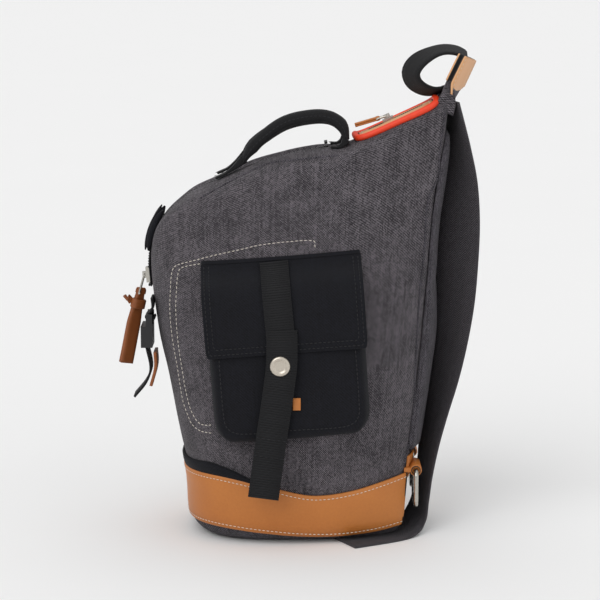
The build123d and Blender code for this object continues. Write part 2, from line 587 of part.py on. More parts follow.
flap_y = POCKET_FRONT_Y - FLAP_AIR
flap_path = [(FLAP_HINGE_Y, FLAP_TOP), (flap_y, FLAP_SHOULDER), (flap_y, FLAP_LOW)]
nodes["pocket_flap"] = hanging_plate(flap_path, 0, FLAP_THICK, -FLAP_WIDTH / 2, FLAP_WIDTH / 2)
web_low, web_high = FLAP_THICK + 0.1, FLAP_THICK + 0.1 + TAB_THICK
web_path = [along(flap_path[0], flap_path[1], 3.0), flap_path[1], (flap_y, TAB_TOP_Z - POCKET_Z + 4.0)]
web_x = TAB_X - POCKET_X
nodes["flap_webbing"] = hanging_plate(web_path, web_low, web_high, web_x - TAB_WIDTH / 2, web_x + TAB_WIDTH / 2)

tab_y = flap_y - web_high
tab_place = Location((TAB_X, tab_y, TAB_TOP_Z), (0, TAB_LEAN_DEG, 0))
nodes["flap_tab"] = tab_place * block((-TAB_WIDTH / 2, 0, TAB_LOW_Z - TAB_TOP_Z), (TAB_WIDTH / 2, TAB_THICK, 0))


def y_disc(x, z, radius, low_y, high_y):
    """A round disc with its axis along Y."""
    return Pos(x, (low_y + high_y) / 2, z) * Rot(90, 0, 0) * Cylinder(radius, high_y - low_y)


nodes["snap_cap"] = y_disc(SNAP_X, SNAP_Z, SNAP_R, tab_y - 0.1 - SNAP_CAP, tab_y - 0.1)
nodes["snap_socket"] = y_disc(SNAP_X, SNAP_Z, SNAP_R - 1.5, tab_y + TAB_THICK + 0.1, tab_y + TAB_THICK + 1.3)
nodes["snap_stud"] = y_disc(SNAP_X, SNAP_Z, SNAP_R - 2.5, tab_y + TAB_THICK + 1.5, POCKET_FRONT_Y - 0.1)
nodes["pocket_leather_tab"] = block((-5.5, POCKET_FRONT_Y - 1.5, 112.5), (0.5, POCKET_FRONT_Y - 0.1, 122))
flap_seam = block((-FLAP_WIDTH / 2, -90, FLAP_TOP + 1.5), (FLAP_WIDTH / 2, 0, FLAP_TOP + 8.0))
nodes["flap_seam"] = (body_loft(GAP + 1.2) - side_wall) & (pocket_place * flap_seam)

# ---------------------------------------------------------------- rings at the back corners
ring_x = level_at(RING_BAR_Z)[2] + RING_STAND
for side, name in ((-1, "near"), (1, "far")):
    y, z, r = side * RING_Y, RING_BAR_Z, RING_WIRE_R
    corners = [(0, -RING_WIDTH / 2, 0), (0, RING_WIDTH / 2, 0), (0, RING_WIDTH / 2, -RING_HEIGHT),
               (0, -RING_WIDTH / 2, -RING_HEIGHT)]
    path = FilletPolyline(*corners, radius=5.0, close=True)
    wire = Plane(origin=path @ 0, z_dir=path % 0) * Circle(r)
    nodes["ring_" + name] = Pos(ring_x, y, z) * sweep(wire, path=path)
    span = RING_TAB_WIDTH / 2
    plate = (body_loft(GAP + TAB_LEATHER, top=125) - body_loft(GAP, top=125)) & block((75, y - span, 47), (110, y + span, 66))
    stem = block((80, y - span, z - 2), (ring_x, y + span, z + 2)) - body_loft(GAP, top=125)
    loop = Pos(ring_x, y, z) * Rot(90, 0, 0) * Cylinder(r + GAP + 1.6, RING_TAB_WIDTH)
    hole = Pos(ring_x, y, z) * Rot(90, 0, 0) * Cylinder(r + GAP, RING_TAB_WIDTH + 2)
    nodes["ring_tab_" + name] = plate + stem + loop - hole

# ---------------------------------------------------------------- front strap
front_low, front_high = FRONT_Y - FRONT_WIDTH / 2, FRONT_Y + FRONT_WIDTH / 2
anchor_skin = (body_loft(GAP + WEBBING) - side_wall) & block((-140, front_low, FRONT_PIVOT_Z - 2), (-60, front_high, FRONT_TOP_Z))
FRONT_X = level_at(FRONT_PIVOT_Z)[1] - FRONT_STAND
eye = y_disc(FRONT_X, FRONT_PIVOT_Z, FRONT_BAR_R + GAP + WEBBING, front_low, front_high)
eye_hole = y_disc(FRONT_X, FRONT_PIVOT_Z, FRONT_BAR_R + GAP, front_low - 1, front_high + 1)
stem = block((FRONT_X, front_low, FRONT_PIVOT_Z - 1), (-80, front_high, FRONT_PIVOT_Z + 1)) - side_wall
nodes["front_anchor"] = anchor_skin + eye + stem - eye_hole

bar_end = FRONT_WIDTH / 2 + 3.0
buckle = y_disc(FRONT_X, FRONT_PIVOT_Z, FRONT_BAR_R, FRONT_Y - bar_end, FRONT_Y + bar_end)
for side in (-1, 1):
    low_y, high_y = sorted((FRONT_Y + side * (FRONT_WIDTH / 2 + 0.6), FRONT_Y + side * bar_end))
    buckle = buckle + block((FRONT_X - 2.5, low_y, FRONT_PIVOT_Z - 9), (FRONT_X + 2.5, high_y, FRONT_PIVOT_Z + 2.5))
low_z = FRONT_PIVOT_Z - 24
buckle = buckle + block((FRONT_X - 6.5, FRONT_Y - bar_end, low_z), (FRONT_X + 2.5, FRONT_Y + bar_end, FRONT_PIVOT_Z - 7))
nodes["front_buckle"] = buckle
tail_path = [(FRONT_X - 2.0, low_z - 0.3), (FRONT_X + 1.0, 135.0), (FRONT_X - 2.5, 124.0), (FRONT_X - 12.0, 112.0)]
tail_outline = offset_path(tail_path, 0.9) + offset_path(tail_path, -0.9)[::-1]
nodes["front_tail"] = y_prism(tail_outline, front_low, front_high)
keeper_path = [(FRONT_X + 4.6, low_z - 4.0), (FRONT_X + 5.0, 134.0), (FRONT_X + 1.2, 121.0)]
keeper_outline = offset_path(keeper_path, 1.2) + offset_path(keeper_path, -1.2)[::-1]
nodes["front_keeper"] = y_prism(keeper_outline, front_low - 1, front_high + 1)

# ---------------------------------------------------------------- write
os.makedirs("parts", exist_ok=True)
for name, shape in nodes.items():
    export_step(shape, "parts/" + name + ".step")
print(len(nodes), "nodes")
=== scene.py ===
"""Looks of the sling bag: melange canvas on a leather band, a twill flap pocket, webbing, zips and rings.

Sizes in the classes are millimetres in the part's own frame: +Z up, -X the bag's front, -Y the pocket side.
Meshes are written in metres.
"""

from __future__ import annotations

import bisect
import logging
import math
from dataclasses import dataclass
from enum import Enum
from typing import Optional, Sequence

import bmesh
import bpy
import numpy as np
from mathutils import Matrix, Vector, noise
from mathutils.bvhtree import BVHTree

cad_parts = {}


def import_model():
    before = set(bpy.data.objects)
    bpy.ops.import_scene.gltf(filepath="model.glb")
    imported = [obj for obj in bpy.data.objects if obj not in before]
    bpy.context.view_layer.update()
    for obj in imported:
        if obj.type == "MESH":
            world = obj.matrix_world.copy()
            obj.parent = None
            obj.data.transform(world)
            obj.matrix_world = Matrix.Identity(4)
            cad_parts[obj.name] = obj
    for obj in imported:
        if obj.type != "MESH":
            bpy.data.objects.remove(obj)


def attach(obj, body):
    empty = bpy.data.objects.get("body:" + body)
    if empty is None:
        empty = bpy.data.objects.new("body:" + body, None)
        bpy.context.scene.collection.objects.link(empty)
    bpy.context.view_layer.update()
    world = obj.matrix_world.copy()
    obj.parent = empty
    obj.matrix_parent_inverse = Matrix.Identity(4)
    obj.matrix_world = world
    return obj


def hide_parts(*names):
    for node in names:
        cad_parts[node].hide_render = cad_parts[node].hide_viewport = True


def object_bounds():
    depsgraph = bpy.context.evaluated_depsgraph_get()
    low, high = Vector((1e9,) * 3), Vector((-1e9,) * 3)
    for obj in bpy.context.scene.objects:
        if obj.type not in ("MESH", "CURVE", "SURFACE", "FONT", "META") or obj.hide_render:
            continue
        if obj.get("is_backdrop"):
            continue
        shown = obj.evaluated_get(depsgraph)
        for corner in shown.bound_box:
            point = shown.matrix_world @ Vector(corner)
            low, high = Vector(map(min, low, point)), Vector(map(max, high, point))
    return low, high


MM = 0.001
SADDLE = (38.0, 311.0)  # X and Z where the top pocket's slope starts
SLOPE = math.atan2(33.0, 72.0)  # angle of that slope
LOG = logging.getLogger("sling_bag")
Point = tuple[float, float, float]
Curve = Sequence[tuple[float, float]]


# ------------------------------------------------------------------ small tools
def linear(code: str) -> tuple[float, float, float, float]:
    """Turns an sRGB hex colour into linear light.

    Args:
        code: colour as "#rrggbb".

    Returns:
        Red, green, blue and alpha in linear light.
    """
    parts = [int(code[i : i + 2], 16) / 255 for i in (1, 3, 5)]
    lit = [c / 12.92 if c <= 0.04045 else ((c + 0.055) / 1.055) ** 2.4 for c in parts]
    return (lit[0], lit[1], lit[2], 1.0)


def smooth(curve: Curve, at: float) -> float:
    """Reads a smooth curve through a few points.

    Args:
        curve: (place, value) pairs in rising order of place.
        at: the place to read.

    Returns:
        The value there, held level past both ends.
    """
    stops = [p[0] for p in curve]
    if at <= stops[0]:
        return curve[0][1]
    if at >= stops[-1]:
        return curve[-1][1]
    i = bisect.bisect_right(stops, at) - 1
    gap = stops[i + 1] - stops[i]
    t = (at - stops[i]) / gap

    def slope(k: int) -> float:
        """The curve's slope at point k, per gap."""
        a, b = max(k - 1, 0), min(k + 1, len(curve) - 1)
        return (curve[b][1] - curve[a][1]) / (stops[b] - stops[a]) * gap

    v0, v1, m0, m1 = curve[i][1], curve[i + 1][1], slope(i), slope(i + 1)
    t2, t3 = t * t, t * t * t
    return (2 * t3 - 3 * t2 + 1) * v0 + (t3 - 2 * t2 + t) * m0 + (3 * t2 - 2 * t3) * v1 + (t3 - t2) * m1


def path_through(points: Sequence[Point], step: float) -> np.ndarray:
    """Samples a smooth path through points.

    Args:
        points: the path's points, mm.
        step: spacing of the samples, mm.

    Returns:
        An array of evenly spaced points.
    """
    far = [0.0]
    for a, b in zip(points, points[1:]):
        far.append(far[-1] + max(1e-6, math.dist(a, b)))
    curves = [[(d, p[k]) for d, p in zip(far, points)] for k in range(3)]
    fine = np.array([[smooth(c, d) for c in curves] for d in np.linspace(0, far[-1], max(8, len(points) * 24))])
    run = np.concatenate([[0], np.cumsum(np.linalg.norm(np.diff(fine, axis=0), axis=1))])
    count = max(2, int(round(run[-1] / step)) + 1)
    at = np.linspace(0, run[-1], count)
    return np.stack([np.interp(at, run, fine[:, k]) for k in range(3)], axis=1)


def link(name: str, mesh: bpy.types.Mesh) -> bpy.types.Object:
    """Puts a mesh into the scene as an object at the origin."""
    piece = bpy.data.objects.new(name, mesh)
    bpy.context.collection.objects.link(piece)
    return piece


def sheet_mesh(bm: bmesh.types.BMesh, grid: np.ndarray, loop: bool = False, flip: bool = False, slot: int = 0) -> None:
    """Adds a grid of points to a bmesh as quads, with a UV map in metres along rows and columns.

    Args:
        bm: the mesh to add to.
        grid: points in mm, rows by columns by 3.
        loop: joins the last column to the first.
        flip: turns the faces over.
        slot: the faces' material index.
    """
    rows, cols = grid.shape[:2]
    uv = bm.loops.layers.uv.verify()
    wide = np.linalg.norm(np.diff(grid, axis=1, append=grid[:, :1]), axis=2)
    along = np.concatenate([np.zeros((rows, 1)), np.cumsum(wide, axis=1)], axis=1)
    middle = along[rows // 2]
    tall = np.linalg.norm(np.diff(grid, axis=0), axis=2)
    up = np.concatenate([np.zeros((1, cols)), np.cumsum(tall, axis=0)], axis=0).mean(axis=1)
    verts = [[bm.verts.new(grid[r, c] * MM) for c in range(cols)] for r in range(rows)]
    for r in range(rows - 1):
        for c in range(cols if loop else cols - 1):
            n = (c + 1) % cols
            corners = [(r, c, c), (r, n, c + 1), (r + 1, n, c + 1), (r + 1, c, c)]
            if flip:
                corners.reverse()
            loops = [verts[a][b] for a, b, _ in corners]
            if len(set(loops)) < 4:
                continue
            face = bm.faces.new(loops)
            face.smooth = True
            face.material_index = slot
            for corner, (a, _, k) in zip(face.loops, corners):
                corner[uv].uv = (middle[k] * MM, up[a] * MM)


def finish_mesh(bm: bmesh.types.BMesh, name: str, merge: float = 0.01, outward: bool = False) -> bpy.types.Object:
    """Merges doubles, drops slivers and makes the object.

    Args:
        bm: the mesh.
        name: the piece's name.
        merge: distance under which points merge, mm.
        outward: recalculates the normals of a closed shell.

    Returns:
        The new object.
    """
    bmesh.ops.remove_doubles(bm, verts=bm.verts, dist=merge * MM)
    bmesh.ops.dissolve_degenerate(bm, edges=bm.edges, dist=1e-7)
    if outward:
        bmesh.ops.recalc_face_normals(bm, faces=bm.faces)
    mesh = bpy.data.meshes.new(name)
    bm.to_mesh(mesh)
    bm.free()
    return link(name, mesh)


def frames_along(path: np.ndarray, across: np.ndarray) -> tuple[np.ndarray, np.ndarray]:
    """Width and thickness directions at each point of a path.

    Args:
        path: points, mm.
        across: wished width direction at each point.

    Returns:
        Unit width directions, and unit directions out of the band's face.
    """
    tangent = np.gradient(path, axis=0)
    tangent /= np.linalg.norm(tangent, axis=1)[:, None]
    side = across - tangent * np.sum(across * tangent, axis=1)[:, None]
    side /= np.linalg.norm(side, axis=1)[:, None]
    return side, np.cross(tangent, side)


def swept(name: str, path: np.ndarray, across: np.ndarray, section: Sequence[tuple[float, float]], closed: bool = False,
          scale: Optional[np.ndarray] = None) -> bpy.types.Object:
    """Sweeps a closed section along a path.

    Args:
        name: the piece's name.
        path: points, mm.
        across: wished width direction at each point.
        section: (width, height) points of the section, counterclockwise, mm.
        closed: the path is a loop.
        scale: width and height factors at each point.

    Returns:
        The new object, closed at both ends.
    """
    side, face = frames_along(path, across)
    shape = np.array(section)
    factor = np.ones((len(path), 2)) if scale is None else scale
    grid = path[:, None] + side[:, None] * (shape[:, 0] * factor[:, :1])[..., None] + face[:, None] * (
        shape[:, 1] * factor[:, 1:])[..., None]
    bm = bmesh.new()
    rows = np.concatenate([grid, grid[:1]]) if closed else grid
    sheet_mesh(bm, rows, loop=True)
    if not closed:
        uv = bm.loops.layers.uv.verify()
        for ring in (grid[0], grid[-1]):
            verts = [bm.verts.new(p * MM) for p in ring]
            cap = bm.faces.new(verts)
            for corner, (u, v) in zip(cap.loops, section):
                corner[uv].uv = (u * MM, v * MM)
    return finish_mesh(bm, name, outward=True)


def strap_section(width: float, thick: float, edge: float = 0.35) -> list[tuple[float, float]]:
    """A flat band's section with softened edges."""
    w, t, e = width / 2, thick / 2, min(edge, thick / 2.2)
    side = [(w, -t + e), (w, t - e), (w - e, t)]
    top = [(w * k, t) for k in (0.5, 0.0, -0.5)]
    left = [(-w + e, t), (-w, t - e), (-w, -t + e), (-w + e, -t)]
    return side + top + left + [(-w * 0.5, -t), (0.0, -t), (w * 0.5, -t), (w - e, -t)]


def round_section(radius: float, sides: int = 12, squash: float = 1.0) -> list[tuple[float, float]]:
    """A round or oval section."""
    turns = [2 * math.pi * k / sides for k in range(sides)]
    return [(radius * math.cos(a), radius * squash * math.sin(a)) for a in turns]


def soften(piece: bpy.types.Object, bevel: float = 0.0, levels: int = 0, thick: float = 0.0) -> bpy.types.Object:
    """Adds wall thickness, a small bevel and subdivision to a piece.

    Args:
        piece: the object.
        bevel: bevel width, mm.
        levels: subdivision levels.
        thick: wall thickness, mm, grown inwards.

    Returns:
        The same object.
    """
    if thick:
        wall = piece.modifiers.new("wall", "SOLIDIFY")
        wall.thickness, wall.offset = thick * MM, -1
        wall.use_even_offset = True
    if bevel:
        edge = piece.modifiers.new("edge", "BEVEL")
        edge.width, edge.segments, edge.limit_method, edge.angle_limit = bevel * MM, 2, "ANGLE", math.radians(40)
    if levels:
        fine = piece.modifiers.new("fine", "SUBSURF")
        fine.levels = fine.render_levels = levels
    return piece


def block_mesh(name: str, low: Point, high: Point, bevel: float = 0.3) -> bpy.types.Object:
    """A bevelled block between two corners, mm."""
    bm = bmesh.new()
    made = bmesh.ops.create_cube(bm, size=1.0)
    for v in made["verts"]:
        v.co = Vector([(a + (b - a) * (c + 0.5)) * MM for a, b, c in zip(low, high, v.co)])
    bmesh.ops.bevel(bm, geom=bm.edges[:], offset=bevel * MM, segments=2, affect="EDGES", profile=0.6)
    for face in bm.faces:
        face.smooth = True
    return finish_mesh(bm, name, outward=True)


def surface_tree(piece: bpy.types.Object) -> BVHTree:
    """A search tree of a piece as its modifiers leave it."""
    return BVHTree.FromObject(piece, bpy.context.evaluated_depsgraph_get())


# ------------------------------------------------------------------ finishes
def put(tree: bpy.types.NodeTree, kind: str, sockets: Optional[dict] = None, **settings: object) -> bpy.types.Node:
    """Adds one node with its settings and links.

    Args:
        tree: the node tree.
        kind: the node's type name.
        sockets: value or output socket for each input, by name or number.
        **settings: the node's own attributes.

    Returns:
        The new node.
    """
    made = tree.nodes.new(kind)
    for key, value in settings.items():
        setattr(made, key, value)
    for key, value in (sockets or {}).items():
        if isinstance(value, bpy.types.NodeSocket):
            tree.links.new(value, made.inputs[key])
        else:
            made.inputs[key].default_value = value
    return made


def blank(name: str) -> tuple[bpy.types.Material, bpy.types.NodeTree, bpy.types.Node]:
    """A new material with a Principled shader wired to its output."""
    made = bpy.data.materials.new(name)
    made.use_nodes = True
    made.node_tree.nodes.clear()
    shader = put(made.node_tree, "ShaderNodeBsdfPrincipled")
    put(made.node_tree, "ShaderNodeOutputMaterial", {"Surface": shader.outputs[0]})
    return made, made.node_tree, shader


def calc(tree: bpy.types.NodeTree, how: str, a: object, b: object = 0.0, c: object = 0.0) -> bpy.types.NodeSocket:
    """One step of arithmetic on two or three values."""
    return put(tree, "ShaderNodeMath", {0: a, 1: b, 2: c}, operation=how).outputs[0]


def blend_colour(tree: bpy.types.NodeTree, share: object, first: object, second: object,
                 how: str = "MIX") -> bpy.types.NodeSocket:
    """Mixes two colours by a share."""
    return put(tree, "ShaderNodeMix", {0: share, 6: first, 7: second}, data_type="RGBA", blend_type=how).outputs[2]


class Weave(Enum):
    """How a cloth's threads cross."""

    MELANGE = "melange canvas"
    TWILL = "fine twill"
    PLAIN = "plain lining"


@dataclass(frozen=True)
class Cloth:
    """A woven cloth, laid out by the piece's own UV map in metres."""

    name: str
    dark: str
    light: str
    weave: Weave
    thread: float  # mm
    contrast: float = 1.0
    rough: float = 0.9
    sheen: float = 0.25
    relief: float = 0.35

    def make(self) -> bpy.types.Material:
        """Builds the material: threads crossing on a diagonal, each a little lighter or darker."""
        made, tree, shader = blank(self.name)
        uv = put(tree, "ShaderNodeUVMap")
        split = put(tree, "ShaderNodeSeparateXYZ", {0: uv.outputs[0]})
        per = 1000 / self.thread
        wobble = put(tree, "ShaderNodeTexNoise", {0: uv.outputs[0], "Scale": 90.0, "Detail": 2.0})
        sway = calc(tree, "MULTIPLY", wobble.outputs[0], 0.9)
        u = calc(tree, "ADD", calc(tree, "MULTIPLY", split.outputs[0], per), sway)
        v = calc(tree, "ADD", calc(tree, "MULTIPLY", split.outputs[1], per), sway)
        fu, fv = calc(tree, "FLOOR", u), calc(tree, "FLOOR", v)
        step = {Weave.MELANGE: 2.0, Weave.TWILL: 3.0, Weave.PLAIN: 2.0}[self.weave]
        over = calc(tree, "LESS_THAN", calc(tree, "FLOORED_MODULO", calc(tree, "ADD", fu, fv), step), 1.0)
        cell = put(tree, "ShaderNodeCombineXYZ", {0: fu, 1: fv})
        dots = put(tree, "ShaderNodeTexWhiteNoise", {0: cell.outputs[0]}, noise_dimensions="2D")
        warp = put(tree, "ShaderNodeTexWhiteNoise", {"W": fu}, noise_dimensions="1D")
        cloud = put(tree, "ShaderNodeTexNoise", {0: uv.outputs[0], "Scale": 45.0, "Detail": 4.0, "Roughness": 0.65})
        fleck = calc(tree, "MULTIPLY_ADD", dots.outputs[0], 0.55, calc(tree, "MULTIPLY", warp.outputs[0], 0.18))
        share = calc(tree, "MULTIPLY_ADD", over, 0.42, calc(tree, "MULTIPLY", fleck, 0.75))
        share = calc(tree, "MULTIPLY_ADD", calc(tree, "SUBTRACT", cloud.outputs[0], 0.5), 0.55, share)
        share = calc(tree, "MULTIPLY_ADD", calc(tree, "SUBTRACT", share, 0.5), self.contrast, 0.42)
        share = put(tree, "ShaderNodeClamp", {0: share}).outputs[0]
        colour = blend_colour(tree, share, linear(self.dark), linear(self.light))
        if self.weave is Weave.MELANGE:
            tint = put(tree, "ShaderNodeTexNoise", {0: uv.outputs[0], "Scale": 210.0, "Detail": 2.0})
            warm = blend_colour(tree, tint.outputs[0], linear("#7a6b86"), linear("#86806c"))
            colour = blend_colour(tree, 0.16, colour, warm, "SOFT_LIGHT")
        cup_u = calc(tree, "SINE", calc(tree, "MULTIPLY", u, 2 * math.pi))
        cup_v = calc(tree, "SINE", calc(tree, "MULTIPLY", v, 2 * math.pi))
        height = calc(tree, "ADD", calc(tree, "MULTIPLY", cup_u, cup_v), over)
        bump = put(tree, "ShaderNodeBump", {"Height": height, "Strength": self.relief, "Distance": 0.0003})
        tree.links.new(colour, shader.inputs["Base Color"])
        tree.links.new(bump.outputs[0], shader.inputs["Normal"])
        shader.inputs["Roughness"].default_value = self.rough
        shader.inputs["Sheen Weight"].default_value = self.sheen
        shader.inputs["Sheen Roughness"].default_value = 0.5
        shader.inputs["Specular IOR Level"].default_value = 0.25
        return made


class Rib(Enum):
    """The face of a webbing."""

    ACROSS = "ribs across the band"
    HERRINGBONE = "chevrons along the band"


@dataclass(frozen=True)
class Webbing:
    """Woven nylon or cotton webbing, laid out by UV: U round the band, V along it."""

    name: str
    dark: str
    light: str
    rib: Rib
    pitch: float  # mm
    width: float  # mm
    rough: float = 0.75

    def make(self) -> bpy.types.Material:
        """Builds the material: raised ribs or chevrons with darker gaps."""
        made, tree, shader = blank(self.name)
        uv = put(tree, "ShaderNodeUVMap")
        split = put(tree, "ShaderNodeSeparateXYZ", {0: uv.outputs[0]})
        along = calc(tree, "MULTIPLY", split.outputs[1], 1000 / self.pitch)
        across = calc(tree, "MULTIPLY", split.outputs[0], 1000.0)
        if self.rib is Rib.HERRINGBONE:
            zig = calc(tree, "PINGPONG", across, self.width / 8)
            along = calc(tree, "ADD", along, calc(tree, "MULTIPLY", zig, 1 / self.pitch))
        wave = calc(tree, "SINE", calc(tree, "MULTIPLY", along, 2 * math.pi))
        ridge = calc(tree, "MULTIPLY_ADD", wave, 0.5, 0.5)
        cell = put(tree, "ShaderNodeCombineXYZ", {0: calc(tree, "FLOOR", calc(tree, "MULTIPLY", across, 1.3)),
                                                  1: calc(tree, "FLOOR", along)})
        fleck = put(tree, "ShaderNodeTexWhiteNoise", {0: cell.outputs[0]}, noise_dimensions="2D")
        share = calc(tree, "MULTIPLY", ridge, calc(tree, "MULTIPLY_ADD", fleck.outputs[0], 0.5, 0.6))
        share = put(tree, "ShaderNodeClamp", {0: share}).outputs[0]
        colour = blend_colour(tree, share, linear(self.dark), linear(self.light))
        bump = put(tree, "ShaderNodeBump", {"Height": ridge, "Strength": 0.6, "Distance": 0.0005})
        tree.links.new(colour, shader.inputs["Base Color"])
        tree.links.new(bump.outputs[0], shader.inputs["Normal"])
        shader.inputs["Roughness"].default_value = self.rough
        shader.inputs["Sheen Weight"].default_value = 0.04
        shader.inputs["Specular IOR Level"].default_value = 0.3
        return made


@dataclass(frozen=True)
class Leather:
    """Vegetable-tanned leather: a smooth waxed grain side with faint pores and cloudy dye."""

    name: str
    colour: str
    shade: str
    grain: float = 0.9  # mm between pores
    rough: float = 0.45
    relief: float = 0.12

    def make(self) -> bpy.types.Material:
        """Builds the material: cloudy dye, pores as fine bump, and a soft waxed gloss."""
        made, tree, shader = blank(self.name)
        place = put(tree, "ShaderNodeTexCoord").outputs["Object"]
        cloud = put(tree, "ShaderNodeTexNoise", {0: place, "Scale": 16.0, "Detail": 5.0, "Roughness": 0.6})
        speck = put(tree, "ShaderNodeTexNoise", {0: place, "Scale": 520.0, "Detail": 3.0})
        share = calc(tree, "MULTIPLY_ADD", cloud.outputs[0], 0.9, calc(tree, "MULTIPLY", speck.outputs[0], 0.35))
        share = put(tree, "ShaderNodeClamp", {0: calc(tree, "SUBTRACT", share, 0.22)}).outputs[0]
        colour = blend_colour(tree, share, linear(self.shade), linear(self.colour))
        pores = put(tree, "ShaderNodeTexVoronoi", {0: place, "Scale": 1000 / self.grain}, feature="DISTANCE_TO_EDGE")
        bump = put(tree, "ShaderNodeBump", {"Height": pores.outputs[0], "Strength": self.relief, "Distance": 0.0003})
        rough = calc(tree, "MULTIPLY_ADD", speck.outputs[0], 0.2, self.rough - 0.1)
        tree.links.new(colour, shader.inputs["Base Color"])
        tree.links.new(bump.outputs[0], shader.inputs["Normal"])
        tree.links.new(rough, shader.inputs["Roughness"])
        shader.inputs["Specular IOR Level"].default_value = 0.4
        return made


@dataclass(frozen=True)
class Solid:
    """A plain cast, moulded, cut or drawn material with fine mottling."""

    name: str
    colour: str
    shade: str
    rough: float
    metal: float = 0.0
    grain: float = 400.0
    relief: float = 0.05

    def make(self) -> bpy.types.Material:
        """Builds the material: slight mottling in colour, roughness and bump."""
        made, tree, shader = blank(self.name)
        place = put(tree, "ShaderNodeTexCoord").outputs["Object"]
        speck = put(tree, "ShaderNodeTexNoise", {0: place, "Scale": self.grain, "Detail": 3.0})
        colour = blend_colour(tree, speck.outputs[0], linear(self.shade), linear(self.colour))
        bump = put(tree, "ShaderNodeBump", {"Height": speck.outputs[0], "Strength": self.relief, "Distance": 0.0002})
        rough = calc(tree, "MULTIPLY_ADD", speck.outputs[0], 0.16, self.rough - 0.08)
        tree.links.new(colour, shader.inputs["Base Color"])
        tree.links.new(bump.outputs[0], shader.inputs["Normal"])
        tree.links.new(rough, shader.inputs["Roughness"])
        shader.inputs["Metallic"].default_value = self.metal
        return made


class Finish(Enum):
    """Every finish of the bag, with what it gives the eye."""

    # Cotton melange canvas: dark warp and light weft, so it reads as fine grey pepper and salt.
    CANVAS = Cloth("canvas_melange_woven", "#17161a", "#767176", Weave.MELANGE, 0.9, 1.5, 0.92, 0.06)
    # Painted shade: the same melange canvas made darker for the base tray, the back pad and the seam welts, which sit
    # in shade.
    CANVAS_PAINTED_SHADE = Cloth("canvas_melange_painted_shade", "#0f0f12", "#67636a", Weave.MELANGE, 1.0, 1.5, 0.92, 0.05)
    # Tight black twill: nearly black, with a faint blue diagonal.
    TWILL = Cloth("twill_black_woven", "#08080c", "#191a22", Weave.TWILL, 0.8, 0.9, 0.88, 0.03, 0.25)
    # Plain nylon lining, only seen inside.
    LINING = Cloth("nylon_lining_woven", "#1a1a1e", "#303036", Weave.PLAIN, 0.6, 0.6, 0.7, 0.1, 0.1)
    # Ribbed black polyamide webbing: soft gleam on each rib.
    WEBBING = Webbing("webbing_black_ribbed", "#050506", "#1b1b1e", Rib.ACROSS, 1.7, 25.0)
    # Narrow-pitch black webbing on handles, loop and anchors.
    WEBBING_FINE = Webbing("webbing_black_fine", "#060607", "#1b1b1e", Rib.HERRINGBONE, 1.3, 24.0)
    # Grey-brown herringbone webbing of the sling strap.
    SLING = Webbing("webbing_sling_herringbone", "#131214", "#565257", Rib.HERRINGBONE, 1.9, 38.0, 0.8)
    # Tan bridle leather with a smooth waxed face: warm orange-brown, cloudy.
    TAN = Leather("leather_tan_waxed", "#c9803c", "#a8622a")
    # Natural undyed leather: pale biscuit.
    PALE = Leather("leather_natural_smooth", "#e3b183", "#cf9868", 0.9, 0.5)
    # Oiled brown leather pulls, darker where handled.
    BROWN = Leather("leather_brown_oiled", "#a55f2f", "#6e3a1a", 0.8, 0.5)
    # Black edge paint on cut leather.
    EDGE = Solid("edge_paint_black", "#141110", "#0b0908", 0.45)
    # Moulded rubber-like piping in signal orange.
    PIPING = Solid("piping_orange_moulded", "#f0431a", "#d9330f", 0.5, 0.0, 300.0, 0.15)
    # Polyester zip tape, knitted: flat black.
    TAPE = Solid("zip_tape_knitted", "#17171a", "#0c0c0e", 0.85, 0.0, 1500.0, 0.3)
    # Moulded acetal zip teeth: black with a dull shine.
    TEETH = Solid("zip_teeth_moulded", "#141416", "#0c0c0d", 0.4)
    # Nickel-plated zinc, die-cast and tumbled: bright but soft.
    NICKEL = Solid("nickel_plated_cast", "#c8c5bd", "#aaa69e", 0.26, 1.0, 900.0, 0.03)
    # Satin brass-nickel press stud, spun.
    SNAP = Solid("snap_satin_spun", "#d6cec2", "#bfb6a8", 0.36, 1.0, 900.0, 0.04)
    # Moulded black acetal buckle.
    ACETAL = Solid("buckle_acetal_moulded", "#1a1a1c", "#101012", 0.42)
    # Extruded polypropylene stiffener inside the base.
    BOARD = Solid("board_polypropylene", "#3b3b3d", "#303032", 0.6)
    # Off-white bonded thread.
    THREAD = Solid("thread_white_bonded", "#e4ddd0", "#c9c1b3", 0.7)
    # Black bonded thread on black cloth.
    THREAD_DARK = Solid("thread_black_bonded", "#17171b", "#0f0f13", 0.7)
    # Undercoated pale studio floor.
    FLOOR = Solid("studio_floor_painted", "#f3f3f3", "#f2f2f2", 0.95, 0.0, 3.0, 0.0)


_made: dict[str, bpy.types.Material] = {}


def finish(kind: Finish) -> bpy.types.Material:
    """The material of a finish, built once."""
    if kind.name not in _made:
        _made[kind.name] = kind.value.make()
    return _made[kind.name]


def dress(piece: bpy.types.Object, kind: Finish, body: str, slot: str, *nodes: str) -> bpy.types.Object:
    """Gives a piece its finish and body, and hides the CAD nodes it stands for.

    Args:
        piece: the object.
        kind: its finish.
        body: the body it rides on.
        slot: the record's material slot; not used.
        *nodes: CAD nodes that it replaces.

    Returns:
        The same object.
    """
    if not piece.data.materials:
        piece.data.materials.append(finish(kind))
    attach(piece, body)
    if nodes:
        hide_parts(*nodes)
    LOG.info("%s rides on %s", piece.name, body)
    return piece


